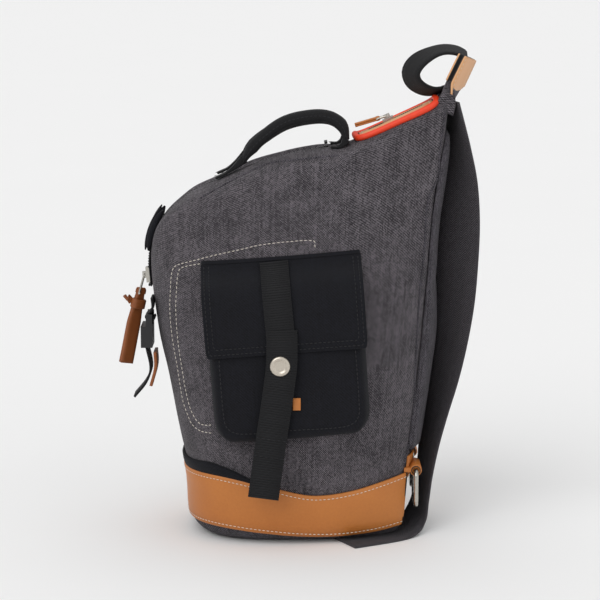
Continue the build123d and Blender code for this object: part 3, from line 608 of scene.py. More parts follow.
# ------------------------------------------------------------------ geometry nodes
def new_tree(name: str, inputs: Sequence[tuple[str, str, object]]) -> tuple[bpy.types.NodeTree, bpy.types.Node,
                                            bpy.types.Node]:
    """A geometry node tree with named inputs.

    Args:
        name: the tree's name.
        inputs: (name, socket type, value) for each input after the geometry.

    Returns:
        The tree, its input node and its output node.
    """
    tree = bpy.data.node_groups.new(name, "GeometryNodeTree")
    tree.interface.new_socket("Geometry", in_out="INPUT", socket_type="NodeSocketGeometry")
    for label, kind, value in inputs:
        socket = tree.interface.new_socket(label, in_out="INPUT", socket_type=kind)
        if value is not None and kind != "NodeSocketMaterial":
            socket.default_value = value
    tree.interface.new_socket("Geometry", in_out="OUTPUT", socket_type="NodeSocketGeometry")
    return tree, put(tree, "NodeGroupInput"), put(tree, "NodeGroupOutput")


def baked(piece: bpy.types.Object, tree: bpy.types.NodeTree, values: dict[str, object]) -> bpy.types.Object:
    """Runs a node tree on a piece and keeps the result as a plain mesh.

    Args:
        piece: the object that carries the input mesh.
        tree: the geometry node tree.
        values: value of each named input.

    Returns:
        A new object with the piece's name.
    """
    worker = piece.modifiers.new("nodes", "NODES")
    worker.node_group = tree
    for item in tree.interface.items_tree:
        if item.item_type == "SOCKET" and item.in_out == "INPUT" and item.name in values:
            worker[item.identifier] = values[item.name]
    name = piece.name
    graph = bpy.context.evaluated_depsgraph_get()
    mesh = bpy.data.meshes.new_from_object(piece.evaluated_get(graph), depsgraph=graph)
    bpy.data.objects.remove(piece)
    mesh.name = name
    return link(name, mesh)


def line_object(name: str, points: np.ndarray, normals: Optional[np.ndarray] = None) -> bpy.types.Object:
    """A bare polyline object, with the way out of the cloth stored at each point as "out"."""
    mesh = bpy.data.meshes.new(name)
    mesh.from_pydata([tuple(p * MM) for p in points], [(i, i + 1) for i in range(len(points) - 1)], [])
    out = mesh.attributes.new("out", "FLOAT_VECTOR", "POINT")
    given = np.tile(np.array([0.0, -1.0, 0.0]), (len(points), 1)) if normals is None else normals
    out.data.foreach_set("vector", given.astype(np.float32).ravel())
    return link(name, mesh)


class Grain(Enum):
    """The shape that a repeat places at each step of its path."""

    STITCH = "a thread's visible length, as an oval bead"
    BAR = "a rounded bar across the path"


@dataclass(frozen=True)
class Repeat:
    """A row of like shapes along a path: stitches, zip teeth or webbing ribs."""

    grain: Grain
    pitch: float  # mm
    size: Point  # length along the path, width across it, height out of it, mm
    kind: Finish
    wander: float = 0.04  # radians
    seed: int = 3

    def tree(self) -> bpy.types.NodeTree:
        """The node tree that lays the shapes along an edge path."""
        name = "row_of_" + self.grain.name.lower()
        if name in bpy.data.node_groups:
            return bpy.data.node_groups[name]
        tree, source, sink = new_tree(name, [
            ("Pitch", "NodeSocketFloat", 0.004), ("Size", "NodeSocketVector", (0.003, 0.001, 0.001)),
            ("Wander", "NodeSocketFloat", 0.04), ("Seed", "NodeSocketInt", 3), ("Finish", "NodeSocketMaterial", None)])
        curve = put(tree, "GeometryNodeMeshToCurve", {0: source.outputs["Geometry"]})
        even = put(tree, "GeometryNodeResampleCurve", {"Curve": curve.outputs[0]}, mode="LENGTH")
        tree.links.new(source.outputs["Pitch"], even.inputs["Length"])
        run = put(tree, "GeometryNodeInputTangent")
        out = put(tree, "GeometryNodeInputNamedAttribute", {"Name": "out"}, data_type="FLOAT_VECTOR")
        turn = put(tree, "FunctionNodeAlignRotationToVector", {"Vector": run.outputs[0]}, axis="X")
        face = put(tree, "FunctionNodeAlignRotationToVector", {"Rotation": turn.outputs[0], "Vector": out.outputs[0]},
                   axis="Z", pivot_axis="X")
        stray = put(tree, "FunctionNodeRandomValue", {"Seed": source.outputs["Seed"]}, data_type="FLOAT")
        swing = put(tree, "ShaderNodeMath", {0: stray.outputs[1], 1: 0.5}, operation="SUBTRACT")
        angle = put(tree, "ShaderNodeMath", {0: swing.outputs[0], 1: source.outputs["Wander"]}, operation="MULTIPLY")
        spin = put(tree, "ShaderNodeCombineXYZ", {2: angle.outputs[0]})
        turned = put(tree, "FunctionNodeRotateRotation", {0: face.outputs[0]}, rotation_space="LOCAL")
        tree.links.new(spin.outputs[0], turned.inputs[1])
        if self.grain is Grain.STITCH:
            shape = put(tree, "GeometryNodeMeshUVSphere", {"Segments": 8, "Rings": 5, "Radius": 0.5})
        else:
            shape = put(tree, "GeometryNodeMeshCylinder", {"Vertices": 8, "Radius": 0.5, "Depth": 1.0})
            shape = put(tree, "GeometryNodeTransform", {"Geometry": shape.outputs[0], "Rotation": (math.pi / 2, 0, 0)})
        rows = put(tree, "GeometryNodeInstanceOnPoints", {"Points": even.outputs[0], "Instance": shape.outputs[0],
                                                          "Rotation": turned.outputs[0],
                                            "Scale": source.outputs["Size"]})
        real = put(tree, "GeometryNodeRealizeInstances", {0: rows.outputs[0]})
        soft = put(tree, "GeometryNodeSetShadeSmooth", {0: real.outputs[0]})
        paint = put(tree, "GeometryNodeSetMaterial", {0: soft.outputs[0], "Material": source.outputs["Finish"]})
        tree.links.new(paint.outputs[0], sink.inputs[0])
        return tree

    def lay(self, name: str, path: np.ndarray, out: Optional[np.ndarray] = None) -> bpy.types.Object:
        """Lays the row along a path.

        Args:
            name: the piece's name.
            path: points, mm.
            out: way out of the surface at each point.

        Returns:
            One plain mesh object.
        """
        size = tuple(k * MM for k in self.size)
        return baked(line_object(name, path, out), self.tree(), {
            "Pitch": self.pitch * MM, "Size": size, "Wander": self.wander, "Seed": self.seed,
            "Finish": finish(self.kind)})


def join(name: str, pieces: Sequence[bpy.types.Object]) -> bpy.types.Object:
    """Joins pieces of one finish or more into a single object at the origin."""
    bm = bmesh.new()
    slots: list[bpy.types.Material] = []
    for piece in pieces:
        mesh = piece.data
        start = len(bm.faces)
        bm.from_mesh(mesh)
        bm.faces.ensure_lookup_table()
        for face in bm.faces[start:]:
            used = mesh.materials[face.material_index] if mesh.materials else None
            if used not in slots:
                slots.append(used)
            face.material_index = slots.index(used)
    mesh = bpy.data.meshes.new(name)
    bm.to_mesh(mesh)
    bm.free()
    for used in slots:
        if used:
            mesh.materials.append(used)
    for piece in pieces:
        bpy.data.objects.remove(piece)
    return link(name, mesh)


WHITE = Repeat(Grain.STITCH, 3.5, (2.5, 0.62, 0.45), Finish.THREAD, 0.12)
WHITE_FINE = Repeat(Grain.STITCH, 3.3, (2.4, 0.6, 0.4), Finish.THREAD, 0.1)
BLACK = Repeat(Grain.STITCH, 3.4, (2.6, 0.7, 0.45), Finish.THREAD_DARK, 0.08)
RIB = Repeat(Grain.BAR, 1.9, (1.75, 22.0, 0.7), Finish.WEBBING, 0.01)
TOOTH = Repeat(Grain.BAR, 2.1, (1.5, 4.6, 1.9), Finish.TEETH, 0.0)


# ------------------------------------------------------------------ the body's shape
@dataclass
class Form:
    """The bag's outer shape, from a few level outlines and the line of its top.

    A column number runs round half an outline: 0 front middle, 1 widest point, 2 rear seam, 3 back middle.
    """

    levels: tuple[tuple[float, ...], ...] = (
        (0, -77, 74, 3, 52, 34), (9, -86, 79, 4, 63, 40), (45, -89, 82, 5, 68, 42), (85, -97.5, 85.5, 8, 73.5, 44),
        (125, -104.5, 90, 9, 75, 44), (165, -113, 94.5, 9, 73, 43), (212, -118.5, 99, 2.5, 67, 40),
        (250, -121, 102, 1.5, 57, 36), (285, -121, 107, 2, 43, 30), (312, -118, 111.5, 2, 34, 26),
        (350, -112, 116, 2, 22, 18))
    widest: float = -15.0
    power: float = 2.6
    arc: tuple[float, float, float] = (-31.5, 212.0, 87.0)
    line: Curve = ((-112, 245.0), (-106, 251.5), (-98, 258.4), (-87, 267.6), (-68, 277.6), (-49, 286.2),
                   (-36, 291.6), (-5, 299.8),
                   (18, 304.6), (38.0, 310.6), (60, 321.0), (86, 333.0), (108.0, 343.2), (119.0, 349.0))
    crown: float = 5.0
    shoulder: float = 5.4  # how far the cloth beside the zip stands above the zip

    def level(self, z: float) -> tuple[float, ...]:
        """Front X, seam X, back bulge, half width and seam half width at a height."""
        return tuple(smooth([(row[0], row[k]) for row in self.levels], z) for k in range(1, 6))

    def flat_point(self, col: float, z: float) -> tuple[float, float]:
        """X and (positive) Y of a column at a height."""
        front, seam, bulge, half, seam_half = self.level(z)
        if col <= 1:
            a = col * math.pi / 2
            share = max(math.cos(a), 0) ** (2 / self.power)
            return self.widest - share * (self.widest - front), half * math.sin(a) ** (2 / self.power)
        if col <= 2:
            t = col - 1
            return self.widest + t * (seam - self.widest), half - (half - seam_half) * t**self.power
        t = col - 2
        return seam + bulge * (1 - (1 - t) ** 2), seam_half * (1 - t)

    def column(self, x: float, z: float) -> float:
        """The column number at X on the side of the body."""
        front, seam, _, _, _ = self.level(z)
        if x < self.widest:
            share = min(max((self.widest - x) / (self.widest - front), 0), 1)
            return math.acos(share ** (self.power / 2)) / (math.pi / 2)
        return 1 + min((x - self.widest) / (seam - self.widest), 1)

    def point(self, col: float, z: float, lift: float = 0.0, side: int = -1) -> np.ndarray:
        """A point of the wall.

        Args:
            col: the column number.
            z: height.
            lift: distance out of the wall.
            side: -1 for the pocket side, 1 for the far side.

        Returns:
            The point, mm.
        """
        x, y = self.flat_point(col, z)
        if lift:
            a, b = self.flat_point(max(col - 0.01, 0), z), self.flat_point(min(col + 0.01, 3), z)
            dx, dy = b[0] - a[0], b[1] - a[1]
            size = math.hypot(dx, dy) or 1.0
            x, y = x - dy / size * lift, y + dx / size * lift
        return np.array([x, side * max(y, 0.0) if y > 1e-6 else 0.0, z])

    def dip(self, x: float, y: float) -> float:
        """How far the top falls below its middle line: it rises beside the zip, then falls to the sides."""
        fall = self.crown * (y / 30) ** 2 * min(max((x + 118.5) / 60, 0), 1)
        near = smooth(((8.5, 0.0), (10.5, 0.25), (13.0, 0.9), (15.5, 1.0)), abs(y))
        return fall - self.shoulder * near * smooth(((-116, 0.0), (-108, 0.75), (-96, 1.0), (14, 1.0), (34, 0.0)), x)

    def top(self, x: float, y: float = 0.0, lift: float = 0.0) -> float:
        """Height of the top surface at X and Y."""
        cx, cz, radius = self.arc
        if x < self.line[0][0]:
            reach = radius - self.dip(x, y) + lift
            return cz + math.sqrt(max(reach**2 - (x - cx) ** 2, 0))
        return smooth(self.line, x) - self.dip(x, y) + lift

    def ridge(self, start_deg: float = 190.0, end_x: float = 112.0, step: float = 3.0) -> np.ndarray:
        """The middle line of the top, from the front arc to the peak."""
        cx, cz, radius = self.arc
        points = []
        for deg in np.arange(start_deg, 158.5, -2.5):
            x, z = cx + radius * math.cos(math.radians(deg)), cz + radius * math.sin(math.radians(deg))
            if deg > 180:
                x = self.level(z)[0]
            points.append((x, 0.0, z))
        for x in np.arange(-110.0, end_x + 0.1, 3.0):
            points.append((float(x), 0.0, self.top(float(x))))
        return path_through(points, step)

    def strip(self, path: np.ndarray, y: float, lift: float) -> np.ndarray:
        """A line beside the ridge, at a Y and a lift out of the top."""
        tangent = np.gradient(path, axis=0)
        tangent /= np.linalg.norm(tangent, axis=1)[:, None]
        out = np.stack([-tangent[:, 2], np.zeros(len(path)), tangent[:, 0]], axis=1)
        fall = np.array([self.dip(p[0], y) for p in path])
        moved = path + out * (lift - fall)[:, None]
        moved[:, 1] = y
        return moved

    def end(self, col: float) -> float:
        """Height at which a column meets the top."""
        low, high = 205.0, 360.0
        for _ in range(40):
            mid = (low + high) / 2
            x, y = self.flat_point(col, mid)
            low, high = (mid, high) if mid < self.top(x, y) else (low, mid)
        return (low + high) / 2

    def shell(self, name: str, foot: float, inset: float = 0.0, rows: int = 46,
              ripple: float = 0.0) -> bpy.types.Object:
        """The walls and the top as one cloth surface, open below.

        Args:
            name: the piece's name.
            foot: height of the lower edge.
            inset: distance inside the outer surface.
            rows: points up each column.
            ripple: size of the cloth's unevenness.

        Returns:
            The new object.
        """
        cols = [k / 26 for k in range(27)] + [1 + k / 22 for k in range(1, 23)] + [2 + k / 8 for k in range(1, 9)]
        near = np.zeros((rows, len(cols), 3))
        for c, col in enumerate(cols):
            top = self.end(col) - inset
            for r in range(rows):
                near[r, c] = self.point(col, foot + (top - foot) * (r / (rows - 1)) ** 0.9, -inset)
        far = near[:, ::-1].copy()
        far[..., 1] *= -1
        wall = np.concatenate([near, far[:, 1:-1]], axis=1)
        across = np.sort(np.concatenate([np.linspace(-1, 1, 17), [-0.56, -0.44, -0.31, 0.31, 0.44, 0.56]]))
        roof = np.zeros((len(across), len(cols), 3))
        for c in range(len(cols)):
            x, y, z = near[-1, c]
            for r, f in enumerate(across):
                height = z + self.top(x, y * f) - self.top(x, y) if 0 < c < len(cols) - 1 else z
                roof[r, c] = (x, -y * f, height)
        bm = bmesh.new()
        sheet_mesh(bm, wall, loop=True, flip=True)
        sheet_mesh(bm, roof, flip=False)
        bmesh.ops.remove_doubles(bm, verts=bm.verts, dist=0.05 * MM)
        bmesh.ops.dissolve_degenerate(bm, edges=bm.edges, dist=1e-6)
        edge = [v for v in bm.verts if any(f.smooth for f in v.link_faces) and v.co.z > (self.top(v.co.x / MM,
                                            abs(v.co.y) / MM) - 9) * MM
                and v.co.z > 0.215]
        for _ in range(3):
            bmesh.ops.smooth_vert(bm, verts=edge, factor=0.5, use_axis_x=True, use_axis_y=True, use_axis_z=True)
        bmesh.ops.recalc_face_normals(bm, faces=bm.faces)
        if ripple:
            bm.normal_update()
            for v in bm.verts:
                p = v.co * 1000
                wave = noise.noise(Vector((p.x * 0.021, p.y * 0.03, p.z * 0.016))) + 0.5 * noise.noise(p * 0.055)
                crease = noise.noise(Vector(((p.x + p.z * 0.7) * 0.05, 3.1, (p.z - p.x * 0.6) * 0.013)))
                v.co += v.normal * (wave + 0.7 * crease) * ripple * MM
        piece = finish_mesh(bm, name)
        return soften(piece, levels=1)

    def stations(self, from_x: float, count: int, z: float, to_x: Optional[float] = None) -> list[tuple[float, int]]:
        """Column numbers and sides round the front, from X on the pocket side to X on the far side."""
        first = self.column(from_x, z)
        last = self.column(from_x if to_x is None else to_x, z)
        near = [(first * (1 - k / count), -1) for k in range(count)]
        return near + [(last * k / count, 1) for k in range(count + 1)]

    def wrap(self, name: str, stations: Sequence[tuple[float, int]], low: Curve, high: Curve,
             section: Sequence[tuple[float, float]]) -> bpy.types.Object:
        """A strip that hugs the wall.

        Args:
            name: the piece's name.
            stations: column number and side of each place along the strip.
            low: height of its lower edge against X.
            high: height of its upper edge against X.
            section: (share of the height, lift) points round its thickness.

        Returns:
            The new object.
        """
        grid = np.zeros((len(stations), len(section), 3))
        for i, (col, side) in enumerate(stations):
            x = self.flat_point(col, 30)[0]
            z0, z1 = smooth(low, x), smooth(high, x)
            for k, (share, lift) in enumerate(section):
                grid[i, k] = self.point(col, z0 + (z1 - z0) * share, lift, side)
        bm = bmesh.new()
        sheet_mesh(bm, grid, loop=True)
        for ring in (grid[0], grid[-1]):
            bm.faces.new([bm.verts.new(p * MM) for p in ring])
        return finish_mesh(bm, name, outward=True)

    def row_line(self, stations: Sequence[tuple[float, int]], edge: Curve, shift: float,
                 lift: float) -> tuple[np.ndarray, np.ndarray]:
        """A line along the wall beside an edge curve, with the way out of the wall at each point."""
        points, out = [], []
        for col, side in stations:
            z = smooth(edge, self.flat_point(col, 30)[0]) + shift
            here, off = self.point(col, z, lift, side), self.point(col, z, lift + 2, side)
            points.append(here)
            out.append((off - here) / 2)
        return np.array(points), np.array(out)

    def wall_y(self, x: float, z: float) -> float:
        """Y of the wall on the pocket side, as a positive number."""
        return self.flat_point(self.column(x, z), z)[1]


def slope_point(along: float, y: float, up: float, form: Form) -> np.ndarray:
    """A point over the sloping top, from its distance along the slope, its Y and its height."""
    rise = up - form.dip(60.0, y) * 1.5
    return np.array([SADDLE[0] + along * math.cos(SLOPE) - rise * math.sin(SLOPE), y,
                     SADDLE[1] + along * math.sin(SLOPE) + rise * math.cos(SLOPE)])


# ------------------------------------------------------------------ sub-assemblies
@dataclass
class Shell:
    """Canvas body with its lining, base, board, leather band, trim and seams."""

    form: Form
    band_low: Curve = ((-98, 14.5), (-90, 14), (-59, 12.5), (-30, 9.5), (0, 6.4), (31, 5.4), (63, 7.6), (84, 11))
    band_high: Curve = ((-98, 55), (-90, 55.5), (-59, 55), (-30, 49.5), (0, 42), (15, 40.5), (39, 43), (63, 48.5),
                        (84, 54))
    trim_high: Curve = ((-98, 64), (-80, 64.5), (-66, 65.4), (-50, 60.5), (-30, 50), (-18, 45))
    outer_line: tuple[tuple[float, float], ...] = (
        (11.5, 236.1), (10.8, 239.9), (-7.7, 239.5), (-30.7, 236.9), (-46.1, 233.4), (-65.4, 228.9), (-83.3, 223.7),
        (-96.5, 218.9), (-99.3, 213.6), (-100.6, 200), (-101.2, 183.8), (-99.8, 164.1), (-95.4, 136.3), (-91.8, 112.2),
        (-87.8, 100.8), (-84.6, 94.3), (-78.1, 90.2), (-70, 89.6))
    inner_line: tuple[tuple[float, float], ...] = (
        (-74.7, 222.5), (-90.8, 218.4), (-94.0, 214.6), (-95.7, 200.3), (-96.3, 184.6), (-94.9, 161), (-90.5, 129.3),
        (-87.5, 113.4), (-84.4, 104.2), (-79.6, 97.1), (-74.8, 95.4), (-70, 96.1))
    rear_line: tuple[tuple[float, float], ...] = (
        (112.9, 336), (108.9, 307), (106.6, 284), (99.5, 268.6), (96.4, 230), (92.7, 191), (90.7, 152), (89.5, 112),
        (85.9, 79.5), (82.1, 59.2))

    def build(self) -> bpy.types.Object:
        """Builds the shell and returns the canvas body, which seams are laid on."""
        canvas = self.form.shell("body_canvas", 14.0, ripple=0.55)
        dress(canvas, Finish.CANVAS, "bag", "canvas_melange", "shell_gusset", "shell_side_near", "shell_side_far")
        lining = self.form.shell("body_lining_bag", 12.0, inset=3.0, rows=18)
        dress(lining, Finish.LINING, "bag", "lining", "body_lining")
        self.base()
        self.band()
        self.seams(canvas)
        return canvas

    def base(self) -> None:
        """Builds the base tray in the darkened copy of the canvas, which paints shade onto the base."""
        form = self.form
        cols = [k / 16 for k in range(17)] + [1 + k / 14 for k in range(1, 15)] + [2 + k / 6 for k in range(1, 7)]
        rows = ((0.1, -6.0), (0.3, -2.5), (1.6, -0.6), (4.0, 0.3), (9.5, 0.5), (15.0, 0.3), (15.0, -1.2))
        near = np.array([[form.point(c, z, lift) for c in cols] for z, lift in rows])
        far = near[:, ::-1].copy()
        far[..., 1] *= -1
        bm = bmesh.new()
        sheet_mesh(bm, np.concatenate([near, far[:, 1:-1]], axis=1), loop=True)
        floor = np.array([[(p[0], -p[1] * f, 0.1) for p in near[0]] for f in np.linspace(-1, 1, 9)])
        sheet_mesh(bm, floor)
        lid = np.array([[(p[0], -p[1] * f, 15.0) for p in near[-1]] for f in np.linspace(-1, 1, 3)])
        sheet_mesh(bm, lid)
        base = soften(finish_mesh(bm, "base_tray", 0.05, outward=True), levels=1)
        # painted shade: the base tray takes the darkened canvas copy, as the base lies in shade
        dress(base, Finish.CANVAS_PAINTED_SHADE, "bag", "canvas_melange", "base_panel")

    def band(self) -> None:
        """Builds the leather band, its painted ends, the layer behind its ends, its stitches and the trim."""
        form = self.form
        section = ((0.0, 0.5), (0.0, 2.3), (0.02, 2.8), (0.25, 3.0), (0.5, 3.1), (0.75, 3.0), (0.98, 2.8),
                   (1.0, 2.3), (1.0, 0.5))
        band = soften(form.wrap("leather_band_wrap", form.stations(82, 46, 30), self.band_low, self.band_high,
                                section), bevel=0.25)
        dress(band, Finish.TAN, "bag", "leather_tan", "leather_band")
        under = ((0.02, 0.4), (0.02, 1.6), (0.98, 1.6), (0.98, 0.4))
        ends, layers = [], []
        for side, word in ((-1, "near"), (1, "far")):
            a, b = form.column(80.6, 30), form.column(82.6, 30)
            edge = form.wrap("edge_" + word, [(a, side), (b, side)], self.band_low, self.band_high,
                             ((-0.004, 0.4), (-0.004, 3.35), (1.004, 3.35), (1.004, 0.4)))
            ends.append(edge)
            stop = 1.97
            layers.append(form.wrap("layer_" + word, [(form.column(76, 30), side), (1.9, side), (stop, side)],
                                    self.band_low, self.band_high, under))
        dress(join("leather_band_edges", ends), Finish.EDGE, "bag", "leather_tan")
        dress(join("leather_band_underlayer", layers), Finish.TAN, "bag", "leather_tan")
        rows = []
        for edge, shift in ((self.band_low, 3.0), (self.band_high, -3.0)):
            path, out = form.row_line(form.stations(80, 60, 30), edge, shift, 3.15)
            rows.append(WHITE_FINE.lay("row", path, out))
        dress(join("leather_band_stitches", rows), Finish.THREAD, "bag", "leather_tan")
        trim = form.wrap("band_trim_strip", form.stations(-20, 30, 60), tuple((x, z - 3) for x, z in self.band_high),
                         self.trim_high, ((0.0, 0.3), (0.0, 1.7), (0.5, 2.6), (0.9, 2.2), (1.0, 0.3)))
        dress(trim, Finish.TWILL, "bag", "twill_black", "band_trim")

    def seams(self, canvas: bpy.types.Object) -> None:
        """Lays the white double stitch, the rear seam and the gusset crease on the canvas."""
        tree = surface_tree(canvas)
        rows, tubes = [], []
        for side in (-1, 1):
            for line in (self.outer_line, self.inner_line, self.rear_line):
                seen = path_through([(x, 0.0, z) for x, z in line], 2.0)
                points, outs = [], []
                for x, _, z in seen:
                    hit, normal, _, _ = tree.ray_cast(Vector((x, side * 200, z)) * MM, Vector((0, -side, 0)))
                    if hit is None:
                        continue
                    normal = normal if normal.y * side > 0 else -normal
                    points.append(np.array(hit) / MM + np.array(normal) * 0.15)
                    outs.append(np.array(normal))
                if line is self.rear_line:
                    tubes.append(swept("tube", np.array(points), np.array(outs), round_section(0.9, 8)))
                else:
                    rows.append(WHITE.lay("row", np.array(points), np.array(outs)))
            crease = [(-77.3, 273.5), (-58, 284), (-38.7, 293.5), (-23.2, 299.5), (0, 303), (30, 306)]
            ridge = []
            for x, z in crease:
                hit, normal, _, _ = tree.ray_cast(Vector((x, side * 200, z - 3)) * MM, Vector((0, -side, 0)))
                if hit is not None:
                    ridge.append(tuple(np.array(hit) / MM))
            if len(ridge) > 2:
                path = path_through(ridge, 2.5)
                tubes.append(swept("tube", path, np.tile([0.0, 1.0, 0.3], (len(path), 1)), round_section(0.9, 8)))
        dress(join("body_stitches_white", rows), Finish.THREAD, "bag", "canvas_melange")
        # painted shade: the rear seam and gusset crease welts take the darkened canvas copy
        dress(join("body_seam_welts", tubes), Finish.CANVAS_PAINTED_SHADE, "bag", "canvas_melange")


@dataclass
class BackPad:
    """The foam panel that lies on the wearer's back."""

    form: Form
    half: float = 42.0
    low: float = 66.5
    high: float = 322.0

    def build(self) -> bpy.types.Object:
        rows, cols = 44, 16
        face, rear = np.zeros((rows, cols, 3)), np.zeros((rows, cols, 3))
        for r, z in enumerate(np.linspace(self.low, self.high, rows)):
            narrow = min(self.half, self.form.level(z)[4] - 0.5)
            for c, f in enumerate(np.linspace(-1, 1, cols)):
                share = min(1.0, min((z - self.low) / 5, (self.high - z) / 26))
                wide = narrow * math.sqrt(max(0.0, 1 - (1 - share) ** 2 * 0.5))
                seam, bulge, seam_half = self.form.level(z)[1], self.form.level(z)[2], self.form.level(z)[4]
                x = seam + bulge * (1 - (wide * f / seam_half) ** 2)
                puff = 5.2 * math.sqrt(max(0.0, 1 - abs(f) ** 5)) * math.sqrt(max(0.0, 1 - (1 - share) ** 2))
                face[r, c] = (x + 0.6 + puff, wide * f, z)
                rear[r, c] = (x + 0.5, wide * f, z)
        bm = bmesh.new()
        sheet_mesh(bm, face)
        sheet_mesh(bm, rear, flip=True)
        pad = finish_mesh(bm, "back_pad", 0.12, outward=True)
        self.plump(pad)
        # painted shade: the back pad takes the darkened canvas copy, as the back lies in shade
        dress(pad, Finish.CANVAS_PAINTED_SHADE, "bag", "canvas_melange", "back_panel")
        return pad

    def plump(self, pad: bpy.types.Object) -> None:
        """Lets cloth pressure round the pad, then caps the movement and keeps the mesh."""
        before = [v.co.copy() for v in pad.data.vertices]
        cloth = pad.modifiers.new("cloth", "CLOTH")
        cloth.settings.use_pressure = True
        cloth.settings.uniform_pressure_force = 4.0
        cloth.settings.tension_stiffness = 60
        cloth.settings.effector_weights.gravity = 0
        held = pad.vertex_groups.new(name="held")
        held.add([v.index for v in pad.data.vertices if (Vector(v.co) * 1000).x < self.form.level(v.co.z * 1000)[1]
                  + self.form.level(v.co.z * 1000)[2] + 1.0], 1.0, "REPLACE")
        cloth.settings.vertex_group_mass = "held"
        scene = bpy.context.scene
        for frame in range(1, 16):
            scene.frame_set(frame)
        graph = bpy.context.evaluated_depsgraph_get()
        moved = [v.co.copy() for v in pad.evaluated_get(graph).data.vertices]
        pad.modifiers.clear()
        scene.frame_set(1)
        for v, old, new in zip(pad.data.vertices, before, moved):
            step = new - old
            v.co = old + step * min(1.0, 0.0015 / step.length) if step.length > 1e-9 else old


@dataclass
class MainZip:
    """The zip over the front and the top, its folded lips, slider and leather pull."""

    form: Form
    pin: tuple[float, float] = (-124.27, 204.70)
    lean_deg: float = 12.5
    turn_deg: float = 58.0  # how far the pull has turned about its own length

    def build(self) -> None:
        """Builds tapes, teeth, lips and the pull, and keeps the rigid slider, link and stops."""
        ridge = self.form.ridge(190, 22, 3.0)
        across = np.tile([0.0, 1.0, 0.0], (len(ridge), 1))
        for side, word in ((-1, "near"), (1, "far")):
            tape = swept("zip_tape_" + word, self.form.strip(ridge, side * 6.4, 1.0), across,
                         strap_section(9.0, 1.0, 0.2))
            dress(tape, Finish.TAPE, "bag", "zip_tape", "main_zip_tape_" + word)
        tangent = np.gradient(ridge, axis=0)
        tangent /= np.linalg.norm(tangent, axis=1)[:, None]
        out = np.stack([-tangent[:, 2], np.zeros(len(ridge)), tangent[:, 0]], axis=1)
        teeth = TOOTH.lay("zip_teeth_row", self.form.strip(ridge, 0.0, 1.75), out)
        dress(teeth, Finish.TEETH, "bag", "zip_teeth", "main_zip_teeth")
        self.lips()
        self.pull()

    def lips(self) -> None:
        """Builds the two folded cloth lips that stand proud at the head of the zip."""
        path = path_through([(-31.5 + 87 * math.cos(math.radians(d)), 0.0, 212 + 87 * math.sin(math.radians(d)))
                             for d in (171, 167, 163, 159, 155, 152, 149)], 1.6)
        across = np.tile([0.0, 1.0, 0.0], (len(path), 1))
        t = np.linspace(0, 1, len(path))
        size = np.sqrt(np.clip(np.sin(np.pi * np.clip(t, 0.012, 0.988)), 0, 1))
        for side, word in ((-1, "near"), (1, "far")):
            lower = swept("low", np.array([[p[0], side * 13.6, p[2]] for p in self.form.strip(path, 0.0, 2.4)]),
                          across, round_section(3.9, 14, 0.95),
                          scale=np.stack([0.5 + 0.5 * size, size], axis=1))
            upper = swept("high", np.array([[p[0], side * 12.2, p[2]] for p in self.form.strip(path, 0.0, 5.0)]),
                          across, round_section(2.7, 14, 0.8),
                          scale=np.stack([0.6 + 0.4 * size, np.clip(size, 0.2, 1)], axis=1))
            lip = join("zip_lip_fold_" + word, [lower, upper])
            dress(lip, Finish.TWILL, "bag", "twill_black", "zip_lip_" + word)

    def place(self, along: float, y: float, out: float) -> np.ndarray:
        """A point of the pull: distance below the pin, Y, and distance to its outer face."""
        a, w = math.radians(self.lean_deg), math.radians(self.turn_deg)
        side, face = y * math.sin(w) - out * math.cos(w), y * math.cos(w) + out * math.sin(w)
        return np.array([self.pin[0] - along * math.sin(a) + side * math.cos(a), face,
                         self.pin[1] - along * math.cos(a) - side * math.sin(a)])

    def pull(self) -> None:
        """Builds the folded leather pull with its knot and ear."""
        t = np.linspace(0, 1, 24)
        broad = self.place(0, 1, 0) - self.place(0, 0, 0)
        layers = []
        for out, skew in ((1.15, 0.0), (-1.15, 0.5)):
            path = np.array([self.place(12.2 + 61 * k, 0.0,
                                        out + skew * math.sin(3 * k) + 0.5 * math.sin(5 * k)) for k in t])
            wide = 0.5 + 0.5 * np.clip(t * 2.2, 0, 1)
            thick = np.ones_like(t)
            layers.append(swept("layer", path, np.tile(broad, (len(t), 1)), strap_section(11.4, 2.1, 0.6),
                                scale=np.stack([wide, thick], axis=1)))
        eye = path_through([tuple(self.place(*p)) for p in ((15.5, 0, 2.1), (12.4, 0, 1.9), (11.2, 0, 0),
                                            (12.4, 0, -1.9), (15.5, 0, -2.1))], 0.8)
        layers.append(swept("eye", eye, np.tile(broad, (len(eye), 1)), strap_section(7.0, 1.1, 0.3)))
        dress(join("main_pull_leather_fold", layers), Finish.BROWN, "main_puller", "leather_brown", "main_pull_leather")
        turns = np.linspace(0, 2 * math.pi, 25)[:-1]
        ring = np.array([self.place(24.0, 5.2 * abs(math.cos(a)) ** 0.7 * math.copysign(1, math.cos(a)),
                                    3.4 * abs(math.sin(a)) ** 0.7 * math.copysign(1, math.sin(a))) for a in turns])
        down = self.place(1, 0, 0) - self.place(0, 0, 0)
        knot = [swept("wrap", ring, np.tile(down, (len(ring), 1)), strap_section(7.5, 1.6, 0.5), closed=True)]
        ear = path_through([tuple(self.place(*p)) for p in ((24, -5, 2.2), (21.5, -7, 3.2), (20.5, -9.2, 3.4),
                                            (21.5, -11, 2.6))], 1.0)
        knot.append(swept("ear", ear, np.tile(broad, (len(ear), 1)), strap_section(5.2, 1.7, 0.5)))
        dress(join("main_pull_knot_wrap", knot), Finish.BROWN, "main_puller", "leather_brown", "main_pull_knot")


